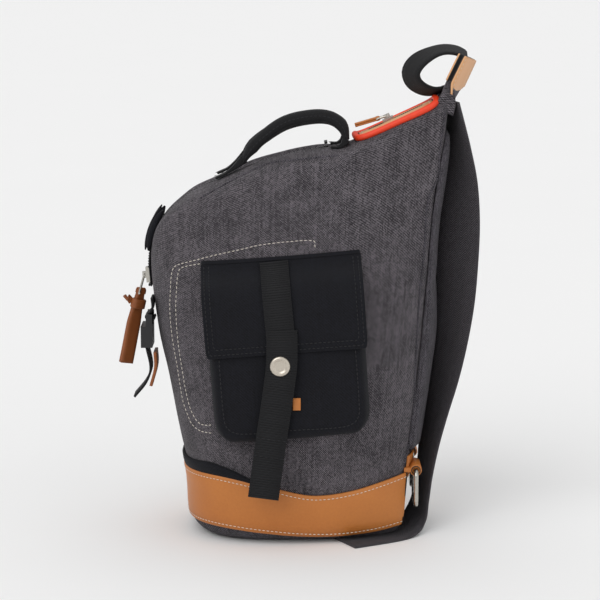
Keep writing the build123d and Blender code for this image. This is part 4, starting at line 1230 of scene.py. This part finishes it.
@dataclass
class TopPocket:
    """The zipped pocket on the sloping top: leather frame, orange bead, zip, pull and pouch."""

    form: Form
    start: float = 10.0
    end: float = 74.0
    half: float = 18.0

    def outline(self, half_length: float, half_width: float, power: float,
                count: int = 72) -> list[tuple[float, float]]:
        """Rounded-rectangle points round the frame's middle, as distance along the slope and Y."""
        middle = (self.start + self.end) / 2
        points = []
        for k in range(count):
            a = 2 * math.pi * k / count
            c, s = math.cos(a), math.sin(a)
            r = (abs(c / half_length) ** power + abs(s / half_width) ** power) ** (-1 / power)
            points.append((middle + r * c, r * s))
        return points

    def build(self) -> None:
        """Builds every piece of the pocket."""
        form = self.form
        outer, inner = self.outline(32, self.half, 6), self.outline(24, 5, 8)
        section = ((0.0, 0.4), (0.0, 2.0), (0.04, 2.4), (0.5, 2.5), (0.95, 2.4), (1.0, 1.9), (1.0, 0.4))
        grid = np.array([[slope_point(i[0] + (o[0] - i[0]) * s, i[1] + (o[1] - i[1]) * s, h, form) for s, h in section]
                         for o, i in zip(outer, inner)])
        bm = bmesh.new()
        sheet_mesh(bm, np.concatenate([grid, grid[:1]]), loop=True)
        frame = finish_mesh(bm, "top_frame_leather", 0.05, outward=True)
        dress(frame, Finish.PALE, "bag", "leather_pale", "top_zip_frame")
        bead = np.array([slope_point(d, y, 2.9, form) for d, y in self.outline(32 + 2.7, self.half + 2.7, 5.5, 96)])
        self.piping("top_piping_bead", bead, 2.6)
        # Painted shade: a thin black ring just inside the orange bead stands for the shadow in the seam between the
        # leather frame and the bead; it carries the piping's slot.
        seam_shade_ring = np.array([slope_point(d, y, 2.0, form) for d, y in self.outline(32.2, self.half + 0.2, 6, 96)])
        seam_shade_ring = swept("top_piping_seam_shade_ring", seam_shade_ring, np.tile([0.0, 0.3, 1.0], (96, 1)), round_section(0.9, 8),
                       closed=True)
        dress(seam_shade_ring, Finish.TWILL, "bag", "piping_orange")
        inner = self.outline(29.0, self.half - 3.0, 6, 96)
        line = np.array([slope_point(d, y, 2.55, form) for d, y in inner])
        row = WHITE_FINE.lay("row", np.concatenate([line, line[:1]]), np.tile([-0.41, 0.0, 0.91], (97, 1)))
        dress(join("top_frame_stitches", [row]), Finish.THREAD, "bag", "leather_pale")
        path = np.array([slope_point(d, 0.0, 1.2, form) for d in np.linspace(19.5, 64.5, 24)])
        across = np.tile([0.0, 1.0, 0.0], (len(path), 1))
        for side, word in ((-1, "near"), (1, "far")):
            tape = swept("top_tape_" + word, path + np.array([0, side * 3.4, 0]), across, strap_section(3.0, 0.9, 0.2))
            dress(tape, Finish.TAPE, "bag", "zip_tape", "top_zip_tape_" + word)
        small = Repeat(Grain.BAR, 1.7, (1.2, 3.4, 1.5), Finish.TEETH, 0.0)
        teeth = small.lay("top_teeth_row", path + np.array([-0.2, 0, 0.4]), np.tile([-0.41, 0.0, 0.91], (len(path), 1)))
        dress(teeth, Finish.TEETH, "bag", "zip_teeth", "top_zip_teeth")
        self.pouch()
        self.pull()

    def piping(self, name: str, line: np.ndarray, radius: float) -> None:
        """Sweeps the orange bead along its closed line with geometry nodes."""
        mesh = bpy.data.meshes.new(name)
        count = len(line)
        mesh.from_pydata([tuple(p * MM) for p in line], [(i, (i + 1) % count) for i in range(count)], [])
        tree, source, sink = new_tree("bead_along_line", [("Radius", "NodeSocketFloat", 0.0026),
                                            ("Finish", "NodeSocketMaterial", None)])
        curve = put(tree, "GeometryNodeMeshToCurve", {0: source.outputs["Geometry"]})
        ring = put(tree, "GeometryNodeCurvePrimitiveCircle", {"Resolution": 14, "Radius": source.outputs["Radius"]})
        body = put(tree, "GeometryNodeCurveToMesh", {0: curve.outputs[0], 1: ring.outputs[0]})
        soft = put(tree, "GeometryNodeSetShadeSmooth", {0: body.outputs[0]})
        real = put(tree, "GeometryNodeRealizeInstances", {0: soft.outputs[0]})
        paint = put(tree, "GeometryNodeSetMaterial", {0: real.outputs[0], "Material": source.outputs["Finish"]})
        tree.links.new(paint.outputs[0], sink.inputs[0])
        bead = baked(link(name, mesh), tree, {"Radius": radius * MM, "Finish": finish(Finish.PIPING)})
        dress(bead, Finish.PIPING, "bag", "piping_orange", "top_zip_piping")

    def pouch(self) -> None:
        """Builds the small pouch that hangs under the slit."""
        rings = []
        for depth, half_length, half_width in ((3.4, 17, 9.6), (14, 17, 9.8), (30, 16.5, 9.6), (39, 15.5, 8.5),
                                               (40.5, 13, 6)):
            line = []
            for k in range(28):
                a = 2 * math.pi * k / 28
                c, s = math.cos(a), math.sin(a)
                r = (abs(c / half_length) ** 5 + abs(s / half_width) ** 5) ** -0.2
                d = 34.0 + r * c
                line.append((SADDLE[0] + d * math.cos(SLOPE) + depth * math.sin(SLOPE), r * s,
                             SADDLE[1] + d * math.sin(SLOPE) - depth * math.cos(SLOPE)))
            rings.append(line)
        bm = bmesh.new()
        sheet_mesh(bm, np.array(rings), loop=True)
        bm.faces.new([bm.verts.new(Vector(p) * MM) for p in rings[-1]])
        pouch = soften(finish_mesh(bm, "top_pocket_bag", 0.02), thick=0.7)
        dress(pouch, Finish.LINING, "bag", "lining", "top_pocket_pouch")

    def pull(self) -> None:
        """Builds the small folded leather pull."""
        rise = 5.85
        pin = np.array([SADDLE[0] + 36 * math.cos(SLOPE) - rise * math.sin(SLOPE), 0.0,
                        SADDLE[1] + 36 * math.sin(SLOPE) + rise * math.cos(SLOPE)])
        a = SLOPE - math.radians(8.0)
        way, out = np.array([-math.cos(a), 0, -math.sin(a)]), np.array([-math.sin(a), 0, math.cos(a)])
        layers = []
        for up in (0.8, -0.8):
            path = np.array([pin + way * d + out * up for d in np.linspace(6.2, 26.0, 12)])
            layers.append(swept("layer", path, np.tile([0.0, 1.0, 0.0], (len(path), 1)), strap_section(6.8, 1.4, 0.4)))
        eye = [tuple(pin + way * d + out * u) for d, u in ((8.5, 1.4), (6.2, 1.2), (5.3, 0), (6.2, -1.2), (8.5, -1.4))]
        eye = path_through(eye, 0.7)
        layers.append(swept("eye", eye, np.tile([0.0, 1.0, 0.0], (len(eye), 1)), strap_section(5.0, 0.8, 0.2)))
        dress(join("top_pull_leather_fold", layers), Finish.TAN, "top_puller", "leather_tan", "top_pull_leather")


@dataclass
class Handles:
    """Two padded webbing grips over the top, with their sewn feet."""

    form: Form
    root: tuple[float, float] = (-42.5, 300.9)
    arch: Curve = ((-2.0, -5.5), (3.0, 0.5), (14.6, 9.5), (34.4, 19.2), (56.0, 20.8), (70.0, 17.4), (78.2, 9.0),
                   (80.2, -2.0))

    def place(self, p: tuple[float, float, float], side: int, lean_deg: float) -> tuple[float, float, float]:
        """Moves a point of the upright grip to its place."""
        phi, tilt = math.radians(-side * lean_deg), math.radians(9.0)
        y, z = p[1] * math.cos(phi) - p[2] * math.sin(phi), p[1] * math.sin(phi) + p[2] * math.cos(phi)
        return (self.root[0] + p[0] * math.cos(tilt) - z * math.sin(tilt), side * 17.5 + y,
                self.root[1] + p[0] * math.sin(tilt) + z * math.cos(tilt))

    def build(self) -> None:
        """Builds both grips, their stitches and their feet."""
        for side, word, lean in ((-1, "near", 0.0), (1, "far", 40.0)):
            path = path_through([self.place((x, 0.0, z + 2.6), side, lean) for x, z in self.arch], 2.0)
            y_way = np.array(self.place((0, 1, 0), side, lean)) - np.array(self.place((0, 0, 0), side, lean))
            across = np.tile(y_way, (len(path), 1))
            t = np.linspace(0, 1, len(path))
            full = np.clip(np.minimum(t, 1 - t) * 9, 0, 1)
            section = [(5.5 * abs(math.cos(a)) ** 0.8 * math.copysign(1, math.cos(a)),
                        4.9 * abs(math.sin(a)) ** 0.8 * math.copysign(1, math.sin(a)))
                       for a in np.linspace(0, 2 * math.pi, 21)[:-1]]
            grip = swept("grip", path, across, section, scale=np.stack([np.ones_like(t), 0.45 + 0.55 * full], axis=1))
            shift = side * y_way  # towards the grip's own side of the bag
            seam = path + shift * 5.45
            stitch = BLACK.lay("row", seam, np.tile(shift, (len(seam), 1)))
            grip.data.materials.append(finish(Finish.WEBBING_FINE))
            dress(join("grip_" + word, [grip, stitch]), Finish.WEBBING_FINE, word + "_handle", "webbing_black",
                  "handle_" + word)
            self.feet(side, word)

    def feet(self, side: int, word: str) -> None:
        """Builds the two sewn feet of one grip."""
        ridge = self.form.ridge(150, 60, 1.5)
        deg = np.degrees(np.arctan2(ridge[:, 2] - 212, ridge[:, 0] + 31.5))
        front = ridge[(ridge[:, 0] < -41) & (deg < 116)]
        rear = ridge[(ridge[:, 0] > 24) & (ridge[:, 0] < 39)]
        for part, line, end in (("front", front, (-1.5, 0.0, -1.5)), ("rear", rear, (80.0, 0.0, 1.0))):
            path = self.form.strip(line, side * 17.5, 0.7)
            t = np.linspace(0, 1, len(path))
            rise = np.clip((t - 0.3) / 0.7, 0, 1) ** 1.5
            gap = np.array(self.place(end, side, 0.0)) - path[-1]
            path = path + rise[:, None] * gap
            across = np.tile([0.0, 1.0, 0.0], (len(path), 1))
            scale = np.stack([1 - 0.12 * rise, 1 + 3.2 * rise], axis=1)
            foot = swept("foot", path, across, strap_section(11.0, 1.6), scale=scale)
            foot.data.materials.append(finish(Finish.WEBBING_FINE))
            flat = max(4, int(0.3 * len(path)))
            out = np.tile([0.0, 0.0, 1.0], (flat, 1))
            rows = [BLACK.lay("row", self.form.strip(line[:flat], side * 17.5 + y, 1.6), out) for y in (-4.0, 4.0)]
            dress(join("grip_foot_" + part + "_" + word, [foot] + rows), Finish.WEBBING_FINE, "bag", "webbing_black",
                  "handle_foot_" + part + "_" + word)


@dataclass
class Peak:
    """The sewn peak at the back: tongue, leather patches and the haul loop."""

    form: Form
    origin: tuple[float, float] = (116.0, 344.0)
    lean_deg: float = 25.0
    yaw_deg: float = 20.0  # the peak has turned a little, so its back shows

    def place(self, out: float, y: float, up: float) -> tuple[float, float, float]:
        """A point of the peak: distance behind its middle, Y, and height along it."""
        a, w = math.radians(self.lean_deg), math.radians(self.yaw_deg * min(max(up / 14, 0.0), 1.0))
        back, side = out * math.cos(w) + y * math.sin(w), y * math.cos(w) - out * math.sin(w)
        return (self.origin[0] + back * math.cos(a) + up * math.sin(a), side,
                self.origin[1] - back * math.sin(a) + up * math.cos(a))

    def layer(self, name: str, out: float, low: float, high: float, width: float, thick: Curve,
              top: float) -> bpy.types.Object:
        """One flat layer that narrows to a share of its width at the top, with its thickness against height."""
        ups = np.linspace(low, high, 18)
        path = np.array([self.place(out, 0.0, u) for u in ups])
        across = np.array([np.array(self.place(0.0, 1.0, u)) - np.array(self.place(0.0, 0.0, u)) for u in ups])
        t = (ups - low) / (high - low)
        wide = 1 - (1 - top) * t**2
        wide[-1] *= 0.94
        deep = np.array([smooth(thick, u) for u in ups])
        return swept(name, path, across, strap_section(width, 1.0, 0.25), scale=np.stack([wide, deep], axis=1))

    def build(self) -> None:
        """Builds the layers, their stitches and the loop."""
        tongue = self.layer("peak_tongue_cloth", -0.5, -9.0, 30.0, 35.0,
                            ((-9, 17.0), (0, 13.5), (8, 9.0), (15, 4.2), (30, 3.2)), 0.94)
        dress(tongue, Finish.CANVAS, "bag", "canvas_melange", "peak_tongue")
        inner = self.layer("peak_webbing_core", 0.0, 15.0, 37.2, 36.2, ((15, 3.4), (37, 3.0)), 0.97)
        dress(inner, Finish.WEBBING_FINE, "bag", "webbing_black")
        front = self.layer("peak_patch_front_leather", -2.5, 14.0, 36.8, 37.5, ((14, 1.5), (37, 1.5)), 0.96)
        dress(front, Finish.PALE, "bag", "leather_tan", "peak_patch_front")
        back = self.layer("peak_patch_back_leather", 2.6, 7.0, 37.0, 38.0, ((7, 1.7), (37, 1.7)), 0.94)
        dress(back, Finish.PALE, "bag", "leather_tan", "peak_patch_back")
        edges = [self.layer("edge", out, low, 37.3, wide, ((low, 0.7), (37, 0.7)), 0.955) for out, low, wide in
                 ((-1.5, 13.8, 37.9), (1.5, 7.0, 38.3))]
        dress(join("peak_edge_paint", edges), Finish.EDGE, "bag", "leather_tan")
        rows = []
        for y in (-15.6, 15.6):
            line = np.array([self.place(3.5, y, u) for u in np.linspace(10, 34, 12)])
            rows.append(WHITE_FINE.lay("row", line, np.tile([1.0, 0.0, -0.2], (12, 1))))
        dress(join("peak_stitches", rows), Finish.THREAD, "bag", "leather_tan")
        ring = [(130.5, 378.5), (122.5, 382.5), (112.0, 383.2), (101.0, 379.5), (91.5, 373.0), (87.2, 365.5),
                (89.2, 358.0), (96.0, 352.6),
                (104.5, 350.6), (113.0, 353.0), (119.5, 359.5), (125.5, 369.5)]
        path = path_through([(x, 0.0, z) for x, z in ring + ring[:2]], 2.0)
        last = int(np.argmin(np.linalg.norm(path[20:] - path[0], axis=1))) + 20
        path = path[:last]
        across = []
        for k in range(len(path)):
            t = k / len(path)
            twist = math.radians(smooth(((0.0, 14), (0.2, 16), (0.42, 34), (0.6, 24), (0.8, 6), (1.0, 14)), t))
            run = path[(k + 1) % len(path)] - path[k - 1]
            off = np.array([-run[2], 0.0, run[0]]) / np.linalg.norm(run)
            across.append(np.array([0.0, -math.cos(twist), 0.0]) + off * math.sin(twist))
        loop = swept("loop", path, np.array(across), strap_section(22.5, 2.4, 0.7), closed=True)
        loop.data.materials.append(finish(Finish.WEBBING_FINE))
        side, face = frames_along(path, np.array(across))
        span = slice(18, 44)
        rows = [BLACK.lay("row", path[span] + side[span] * w + face[span] * u, face[span]) for w in (-9.0,
                                            9.0) for u in (-1.3, 1.3)]
        dress(join("haul_loop_band", [loop] + rows), Finish.WEBBING_FINE, "loop", "webbing_black", "haul_loop")


@dataclass
class SlingStrap:
    """The wide herringbone strap from the peak down the back and under the near edge of the base."""

    width: float = 38.0
    thick: float = 2.0
    stations: tuple[tuple[float, ...], ...] = (
        (120.8, 0, 343, 8, 16), (122.6, 0, 325, 18, 12), (124.6, 0, 306, 28, 6), (126.4, 0, 278, 44, 0),
        (126.6, 0, 246, 54, -3), (125.4, 0, 216, 56, -3), (123.6, 0, 184, 52, -6), (119.8, 0, 151, 44, -9),
        (115.0, 0, 122, 36, -10), (109.6, -1, 96, 27, -10), (104.4, -3, 70, 20, -8), (100.6, -6, 44, 14, -6),
        (97.6, -9.5, 26, 14, -14), (93.0, -14, 12, 19, -38), (85.6, -21, 4.2, 25, -66), (76, -32.5, 1.05, 27, -90),
        (64, -42, 1.05, 27, -90), (34, -59, 1.05, 27, -90))

    def build(self) -> None:
        """Builds the strap."""
        path = path_through([s[:3] for s in self.stations], 3.0)
        far = [0.0]
        for a, b in zip(self.stations, self.stations[1:]):
            far.append(far[-1] + math.dist(a[:3], b[:3]))
        turn = [(d, s[3]) for d, s in zip(far, self.stations)]
        at = np.linspace(0, far[-1], len(path))
        across = np.array([(-math.sin(math.radians(smooth(turn, d))), math.cos(math.radians(smooth(turn, d))),
                            0) for d in at])
        strap = swept("sling_strap_band", path, across, strap_section(self.width, self.thick, 0.5))
        low = min(v.co.z for v in strap.data.vertices)
        if low < 0:
            for v in strap.data.vertices:
                v.co.z = max(v.co.z, 0.02 * MM)
        dress(strap, Finish.SLING, "bag", "webbing_grey", "sling_strap")


@dataclass
class SidePocket:
    """The twill flap pocket on the near side, with its webbing, tongue and snap."""

    form: Form
    origin: tuple[float, float] = (-10.0, 158.0)
    turn_deg: float = 4.2
    width: float = 121.0
    bottom: float = -70.0
    front_y: float = -84.0

    def spot(self, u: float, y: float, v: float) -> np.ndarray:
        """A point in the pocket's turned frame."""
        a = math.radians(self.turn_deg)
        return np.array([self.origin[0] + u * math.cos(a) - v * math.sin(a), y,
                         self.origin[1] + u * math.sin(a) + v * math.cos(a)])

    def build(self) -> None:
        """Builds the pocket, flap, webbing, tongue, snap and leather tab."""
        self.bag()
        self.flap()
        self.webbing()
        self.snap()

    def half_at(self, v: float) -> float:
        """Half width of the pocket at a height, with its round lower corners."""
        corner = 17.0
        low = v - self.bottom
        if low >= corner:
            return self.width / 2
        return self.width / 2 - corner * (1 - math.sqrt(max(0.0, 1 - (1 - low / corner) ** 2)))

    def bag(self) -> None:
        """Builds the puffed pocket with its gusset."""
        edge = [0.0, 0.25, 0.8, 1.7, 3.0, 5.0, 8.0]
        rise = edge + list(np.linspace(12, 108, 22)) + [110.0, 112.0]
        grid = []
        for low in rise:
            v = self.bottom + low
            half = max(self.half_at(v), 20.0 if low < 1 else 1.0)
            row = []
            us = [-half + e for e in edge] + list(np.linspace(-half + 11, half - 11,
                                            22)) + [half - e for e in reversed(edge)]
            for u in us:
                inner = min(half - abs(u), low)
                x, _, z = self.spot(u, 0, v)
                wall = -(self.form.wall_y(x, z) + 0.9)
                share = math.sqrt(max(0.0, 1 - (1 - min(inner / 6.5, 1.0)) ** 2))
                swell = 0.9 * math.sin(math.pi * min(max((u + half) / (2 * half), 0),
                                                     1)) + 0.35 * noise.noise(Vector((u * 0.05, v * 0.05, 1.0)))
                row.append(self.spot(u, wall + (self.front_y + 0.9 - swell - wall) * share, v))
            grid.append(row)
        bm = bmesh.new()
        sheet_mesh(bm, np.array(grid))
        pocket = soften(finish_mesh(bm, "pocket_front", 0.02), levels=1, thick=1.2)
        dress(pocket, Finish.TWILL, "bag", "twill_black", "pocket_body")
        half, low = self.width / 2 - 8.5, self.bottom + 8.5
        lines = [(-half, 20), (-half, low + 12), (-half + 3, low + 4), (-half + 12, low), (0, low),
                 (half - 12, low), (half - 3, low + 4),
                 (half, low + 12), (half, 20)]
        path = path_through([tuple(self.spot(u, self.front_y - 0.75, v)) for u, v in lines], 2.0)
        row = BLACK.lay("pocket_stitches", path)
        dress(row, Finish.THREAD_DARK, "bag", "twill_black")
        x, z = 0.5, 117.2
        tab = block_mesh("pocket_side_tag", (-5.5, self.front_y - 1.8, 112.5), (0.5, self.front_y + 0.2, 122.0), 0.4)
        dress(tab, Finish.TAN, "bag", "leather_tan", "pocket_leather_tab")

    def flap_point(self, u: float, t: float, lift: float = 0.0) -> np.ndarray:
        """A point of the flap.

        Args:
            u: distance across from its middle.
            t: 0 at the seam, 1 at the free edge.
            lift: distance out of its face.

        Returns:
            The point, mm.
        """
        v = smooth(((0, 68.5), (0.12, 61), (0.3, 51), (0.42, 42), (0.7, 22), (1.0, -1.5)), t)
        y = smooth(((0, -64.2), (0.12, -71.5), (0.3, -80.5), (0.42, -84.6), (0.55, -86.2), (0.8, -86.5),
                    (1.0, -86.0)), t)
        x, _, z = self.spot(u, 0, v)
        wall = -(self.form.wall_y(x, z) + 1.4)
        hug = min(t / 0.3, 1.0)
        hug = hug * hug * (3 - 2 * hug)
        y = wall + (y - wall) * max(hug, 0.0) if t < 0.3 else y
        y += 0.35 * math.sin(u * 0.06 + 1.0) * t - lift * (0.75 if t < 0.35 else 1.0)
        return self.spot(u, y, v + lift * (0.6 if t < 0.35 else 0.0))

    def flap(self) -> None:
        """Builds the flap, its edge stitches and the seam over its root."""
        us = [-62.0, -61.2, -59.0] + list(np.linspace(-55, 55, 23)) + [59.0, 61.2, 62.0]
        ts = list(np.linspace(0, 0.96, 26)) + [0.985, 1.0]
        grid = np.zeros((len(ts), len(us), 3))
        for r, t in enumerate(ts):
            for c, u in enumerate(us):
                k = 1.0 if t < 0.9 else 1 - 0.028 * ((t - 0.9) / 0.1) ** 3
                grid[r, c] = self.flap_point(u * k, t)
        bm = bmesh.new()
        sheet_mesh(bm, grid[::-1])
        flap = soften(finish_mesh(bm, "pocket_flap_cloth", 0.02), levels=1, thick=1.5)
        dress(flap, Finish.TWILL, "flap", "twill_black", "pocket_flap")
        rows = []
        for inset in (2.6, 6.4):
            u = 62 - inset
            last = 1.0 - inset / 72
            line = [self.flap_point(-u, t, 0.25) for t in np.linspace(0.05, last - 0.04, 20)]
            line += [self.flap_point(-u + 1.5, last, 0.25)] + [self.flap_point(k, last,
                                            0.25) for k in np.linspace(-u + 4, u - 4, 24)]
            line += [self.flap_point(u - 1.5, last, 0.25)] + [self.flap_point(u, t,
                                            0.25) for t in np.linspace(last - 0.04, 0.05, 20)]
            rows.append(BLACK.lay("row", path_through([tuple(p) for p in line], 2.0)))
        dress(join("pocket_flap_stitches", rows), Finish.THREAD_DARK, "flap", "twill_black")
        path = []
        for u in np.linspace(-61, 61, 30):
            x, _, z = self.spot(u, 0, 69.3)
            path.append((x, -(self.form.wall_y(x, z) + 1.1), z))
        seam = swept("pocket_flap_seam", np.array(path), np.tile([0.0, 0.25, 1.0], (len(path), 1)),
                     strap_section(3.4, 1.3, 0.5))
        dress(seam, Finish.TWILL, "bag", "twill_black", "flap_seam")

    def webbing(self) -> None:
        """Builds the ribbed webbing on the flap and the free tongue below it."""
        line = np.array([self.flap_point(-5.2 + 1.6 * t, t, 1.15) for t in np.linspace(0.04, 0.82, 40)])
        across = np.tile([1.0, 0.0, 0.07], (len(line), 1))
        strip = swept("strip", line, across, strap_section(21.5, 1.5))
        strip.data.materials.append(finish(Finish.WEBBING))
        side, face = frames_along(line, across)
        sign = np.sign(face[:, 1:2]) * -1
        ribs = RIB.lay("ribs", line + face * sign * 0.75, face * sign)
        dress(join("flap_webbing_ribbed", [strip, ribs]), Finish.WEBBING, "flap", "webbing_black", "flap_webbing")
        points = [(-13.9, -88.2, 174.5), (-13.7, -88.5, 160), (-14.2, -88.5, 146), (-17.4, -88.4, 121),
                  (-22.6, -88.2, 86), (-28.2, -87.8, 44.5)]
        path = path_through(points, 2.0)
        across = np.array([(math.cos(math.radians(a)), 0, -math.sin(math.radians(a))) for a in np.interp(path[:, 2],
                                            [44, 90, 150, 175], [9.0, 8.0, 3.0, 0.0])])
        tongue = swept("tongue", path, across, strap_section(23.5, 1.5))
        tongue.data.materials.append(finish(Finish.WEBBING))
        side, face = frames_along(path, across)
        sign = np.sign(face[:, 1:2]) * -1
        wide = Repeat(Grain.BAR, 1.9, (1.75, 23.8, 0.7), Finish.WEBBING, 0.01)
        pieces = [tongue, wide.lay("ribs", path + face * sign * 0.75, face * sign)]
        for z, half in ((91.0, 10.0), (76.0, 10.0)):
            i = int(np.argmin(abs(path[:, 2] - z)))
            ends = [path[i] + side[i] * w + face[i] * sign[i] * 1.35 for w in np.linspace(-half, half, 8)]
            pieces.append(BLACK.lay("row", np.array(ends)))
        dress(join("flap_tongue_ribbed", pieces), Finish.WEBBING, "flap_tongue", "webbing_black", "flap_tab")

    def snap(self) -> None:
        """Builds the spun cap of the snap."""
        profile = ((0.0, 1.3), (2.6, 1.35), (4.3, 1.2), (4.8, 1.75), (5.4, 2.1), (6.2, 2.15), (7.2, 1.8),
                   (7.8, 1.0), (7.9, 0.2), (7.0, 0.0), (0.0, 0.0))
        turns = np.linspace(0, 2 * math.pi, 49)[:-1]
        grid = np.array([[(-15.2 + r * math.cos(a), -88.95 - h, 147.6 + r * math.sin(a)) for a in turns] for r,
                         h in profile])
        bm = bmesh.new()
        sheet_mesh(bm, grid, loop=True)
        cap = finish_mesh(bm, "snap_cap_spun", 0.01, outward=True)
        dress(cap, Finish.SNAP, "flap_tongue", "metal_snap", "snap_cap")


@dataclass
class Fittings:
    """Ring tabs at the back corners and the webbing of the front strap."""

    form: Form

    def build(self) -> None:
        """Builds the ring tabs and the front strap's soft pieces."""
        bar_x = self.form.level(55.0)[1] + 8.7
        for side, word in ((-1, "near"), (1, "far")):
            y = side * 32.0
            rings = []
            for r, end in ((2.15, -1), (4.3, -1), (4.7, -0.93), (4.7, 0.93), (4.3, 1), (2.15, 1)):
                rings.append([(bar_x + r * math.cos(a), y + 12.5 * end,
                               55 + r * math.sin(a)) for a in np.linspace(0, 2 * math.pi, 25)[:-1]])
            bm = bmesh.new()
            sheet_mesh(bm, np.array(rings + rings[:1]), loop=True)
            roll = finish_mesh(bm, "roll", 0.01, outward=True)
            stations = [(c, side) for c in np.linspace(2.04, 2.55, 14)]
            plate = self.form.wrap("plate", stations, ((-100, 47.5), (100, 47.5)), ((-100, 66), (100, 66)),
                                   ((0.0, 0.4), (0.0, 1.8), (0.06, 2.2), (0.94, 2.2), (1.0, 1.8), (1.0, 0.4)))
            stem = block_mesh("stem", (bar_x - 9.4, y - 12.3, 53.2), (bar_x - 2.6, y + 12.3, 56.8), 0.6)
            tab = join("ring_tab_roll_" + word, [roll, plate, stem])
            dress(tab, Finish.TAN, "bag", "leather_tan", "ring_tab_" + word)
            rims = []
            for end in (-12.5, 12.5):
                circle = np.array([(bar_x + 3.4 * math.cos(a), y + end,
                                    55 + 3.4 * math.sin(a)) for a in np.linspace(0, 2 * math.pi, 25)[:-1]])
                rims.append(swept("rim", circle, np.tile([0.0, 1.0, 0.0], (24, 1)),
                                  round_section(1.25, 8, 0.3)[::-1], closed=True))
            dress(join("ring_tab_rim_" + word, rims), Finish.EDGE, "bag", "leather_tan")
        self.front_strap()

    def front_strap(self) -> None:
        """Builds the anchor, tail and keeper of the front strap."""
        fx = self.form.level(176.0)[0] - 4.2

        def band(name: str, points: Sequence[tuple[float, float]], width: float, thick: float,
                 kind: Finish) -> bpy.types.Object:
            """One flat band that follows points in the XZ plane."""
            path = path_through([(x, -24.0, z) for x, z in points], 1.2)
            made = swept(name, path, np.tile([0.0, 1.0, 0.0], (len(path), 1)), strap_section(width, thick))
            made.data.materials.append(finish(kind))
            return made

        anchor = band("front_strap_anchor", ((fx + 2.4, 191), (fx + 3.0, 184), (fx + 2.2, 180.6), (fx, 178.4),
                                             (fx - 2.4, 176),
                                             (fx, 173.7), (fx + 2.2, 174.0), (fx + 4.6, 174.8)), 20.0, 1.6,
                                             Finish.WEBBING_FINE)
        dress(anchor, Finish.WEBBING_FINE, "bag", "webbing_black", "front_anchor")
        tail = band("front_strap_tail", ((fx - 2.0, 151.7), (fx + 1.0, 135.0), (fx - 2.5, 124.0),
                                         (fx - 12.0, 112.0)), 20.0, 1.8,
                    Finish.WEBBING_FINE)
        dress(tail, Finish.WEBBING_FINE, "front_clip", "webbing_black", "front_tail")
        keeper = band("front_strap_keeper", ((fx + 4.6, 148.0), (fx + 5.0, 136.0), (fx + 1.2, 121.0)), 22.0, 2.4,
                      Finish.BROWN)
        dress(keeper, Finish.BROWN, "front_clip", "leather_brown", "front_keeper")


@dataclass
class Studio:
    """Camera, floor and soft lights."""

    elevation_deg: float = 9.5
    target: Point = (0.0, 0.0, 0.184)
    distance: float = 1.7
    lens: float = 127.5

    def build(self) -> None:
        """Builds the floor, the lights and the camera."""
        self.floor()
        self.sun("key", (-0.9, -1.3, 1.6), 1.15, 50.0)
        self.sun("fill", (1.3, -1.2, 0.9), 0.35, 60.0)
        self.sun("top", (0.1, 0.4, 1.9), 0.45, 60.0)
        world = bpy.data.worlds.new("studio_world")
        world.use_nodes = True
        back = world.node_tree.nodes["Background"]
        back.inputs[0].default_value = linear("#f6f6f6")
        back.inputs[1].default_value = 0.62
        bpy.context.scene.world = world
        bpy.context.scene.view_settings.view_transform = "Standard"
        data = bpy.data.cameras.new("camera")
        data.sensor_width, data.lens, data.clip_start = 36.0, self.lens, 0.01
        camera = bpy.data.objects.new("camera", data)
        bpy.context.collection.objects.link(camera)
        e = math.radians(self.elevation_deg)
        away = Vector((0.0, -math.cos(e), math.sin(e)))
        camera.location = Vector(self.target) + away * self.distance
        camera.rotation_euler = (-away).to_track_quat("-Z", "Y").to_euler()
        bpy.context.scene.camera = camera

    def floor(self) -> None:
        """Builds the pale floor."""
        mesh = bpy.data.meshes.new("studio_floor")
        r = 60.0
        mesh.from_pydata([(-r, -r, 0), (r, -r, 0), (r, r, 0), (-r, r, 0)], [], [(0, 1, 2, 3)])
        floor = link("studio_floor", mesh)
        mesh.materials.append(finish(Finish.FLOOR))
        floor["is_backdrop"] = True

    def sun(self, name: str, spot: Point, power: float, spread_deg: float) -> None:
        """Hangs one very wide, soft, even light that shines from a spot towards the bag."""
        data = bpy.data.lights.new(name, "SUN")
        data.energy, data.angle = power, math.radians(spread_deg)
        lamp = bpy.data.objects.new(name, data)
        bpy.context.collection.objects.link(lamp)
        lamp.location = spot
        lamp.rotation_euler = (Vector(self.target) - Vector(spot)).to_track_quat("-Z", "Y").to_euler()
        lamp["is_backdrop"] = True


KEPT: dict[str, Finish] = {
    "base_board": Finish.BOARD, "main_zip_stop_front": Finish.TEETH, "main_zip_stop_rear": Finish.TEETH,
    "main_zip_slider": Finish.NICKEL, "main_pull_link": Finish.NICKEL, "top_zip_slider": Finish.NICKEL,
    "top_pull_link": Finish.NICKEL, "ring_near": Finish.NICKEL, "ring_far": Finish.NICKEL, "snap_socket": Finish.SNAP,
    "snap_stud": Finish.SNAP, "front_buckle": Finish.ACETAL}


def keep_rigid() -> None:
    """Gives each rigid CAD piece that stays in view its finish."""
    for node, kind in KEPT.items():
        piece = bpy.data.objects[node]
        piece.data.materials.clear()
        piece.data.materials.append(finish(kind))
        LOG.info("%s keeps its mesh", node)


def write_size(before: object, after: object) -> None:
    """Turns the bounds at load and at the end into plain lists; they are not kept or written."""
    def plain(value: object) -> object:
        """Turns nested vectors into lists of floats."""
        if hasattr(value, "__len__") and not isinstance(value, str):
            return [plain(v) for v in value]
        return float(value)

    {"load": plain(before), "end": plain(after)}


def main() -> None:
    """Builds the scene."""
    logging.basicConfig(level=logging.INFO, format="%(message)s")
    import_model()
    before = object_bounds()
    form = Form()
    Shell(form).build()
    BackPad(form).build()
    MainZip(form).build()
    TopPocket(form).build()
    Handles(form).build()
    Peak(form).build()
    SlingStrap().build()
    SidePocket(form).build()
    Fittings(form).build()
    keep_rigid()
    Studio().build()
    write_size(before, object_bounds())


if __name__ == "__main__":
    main()
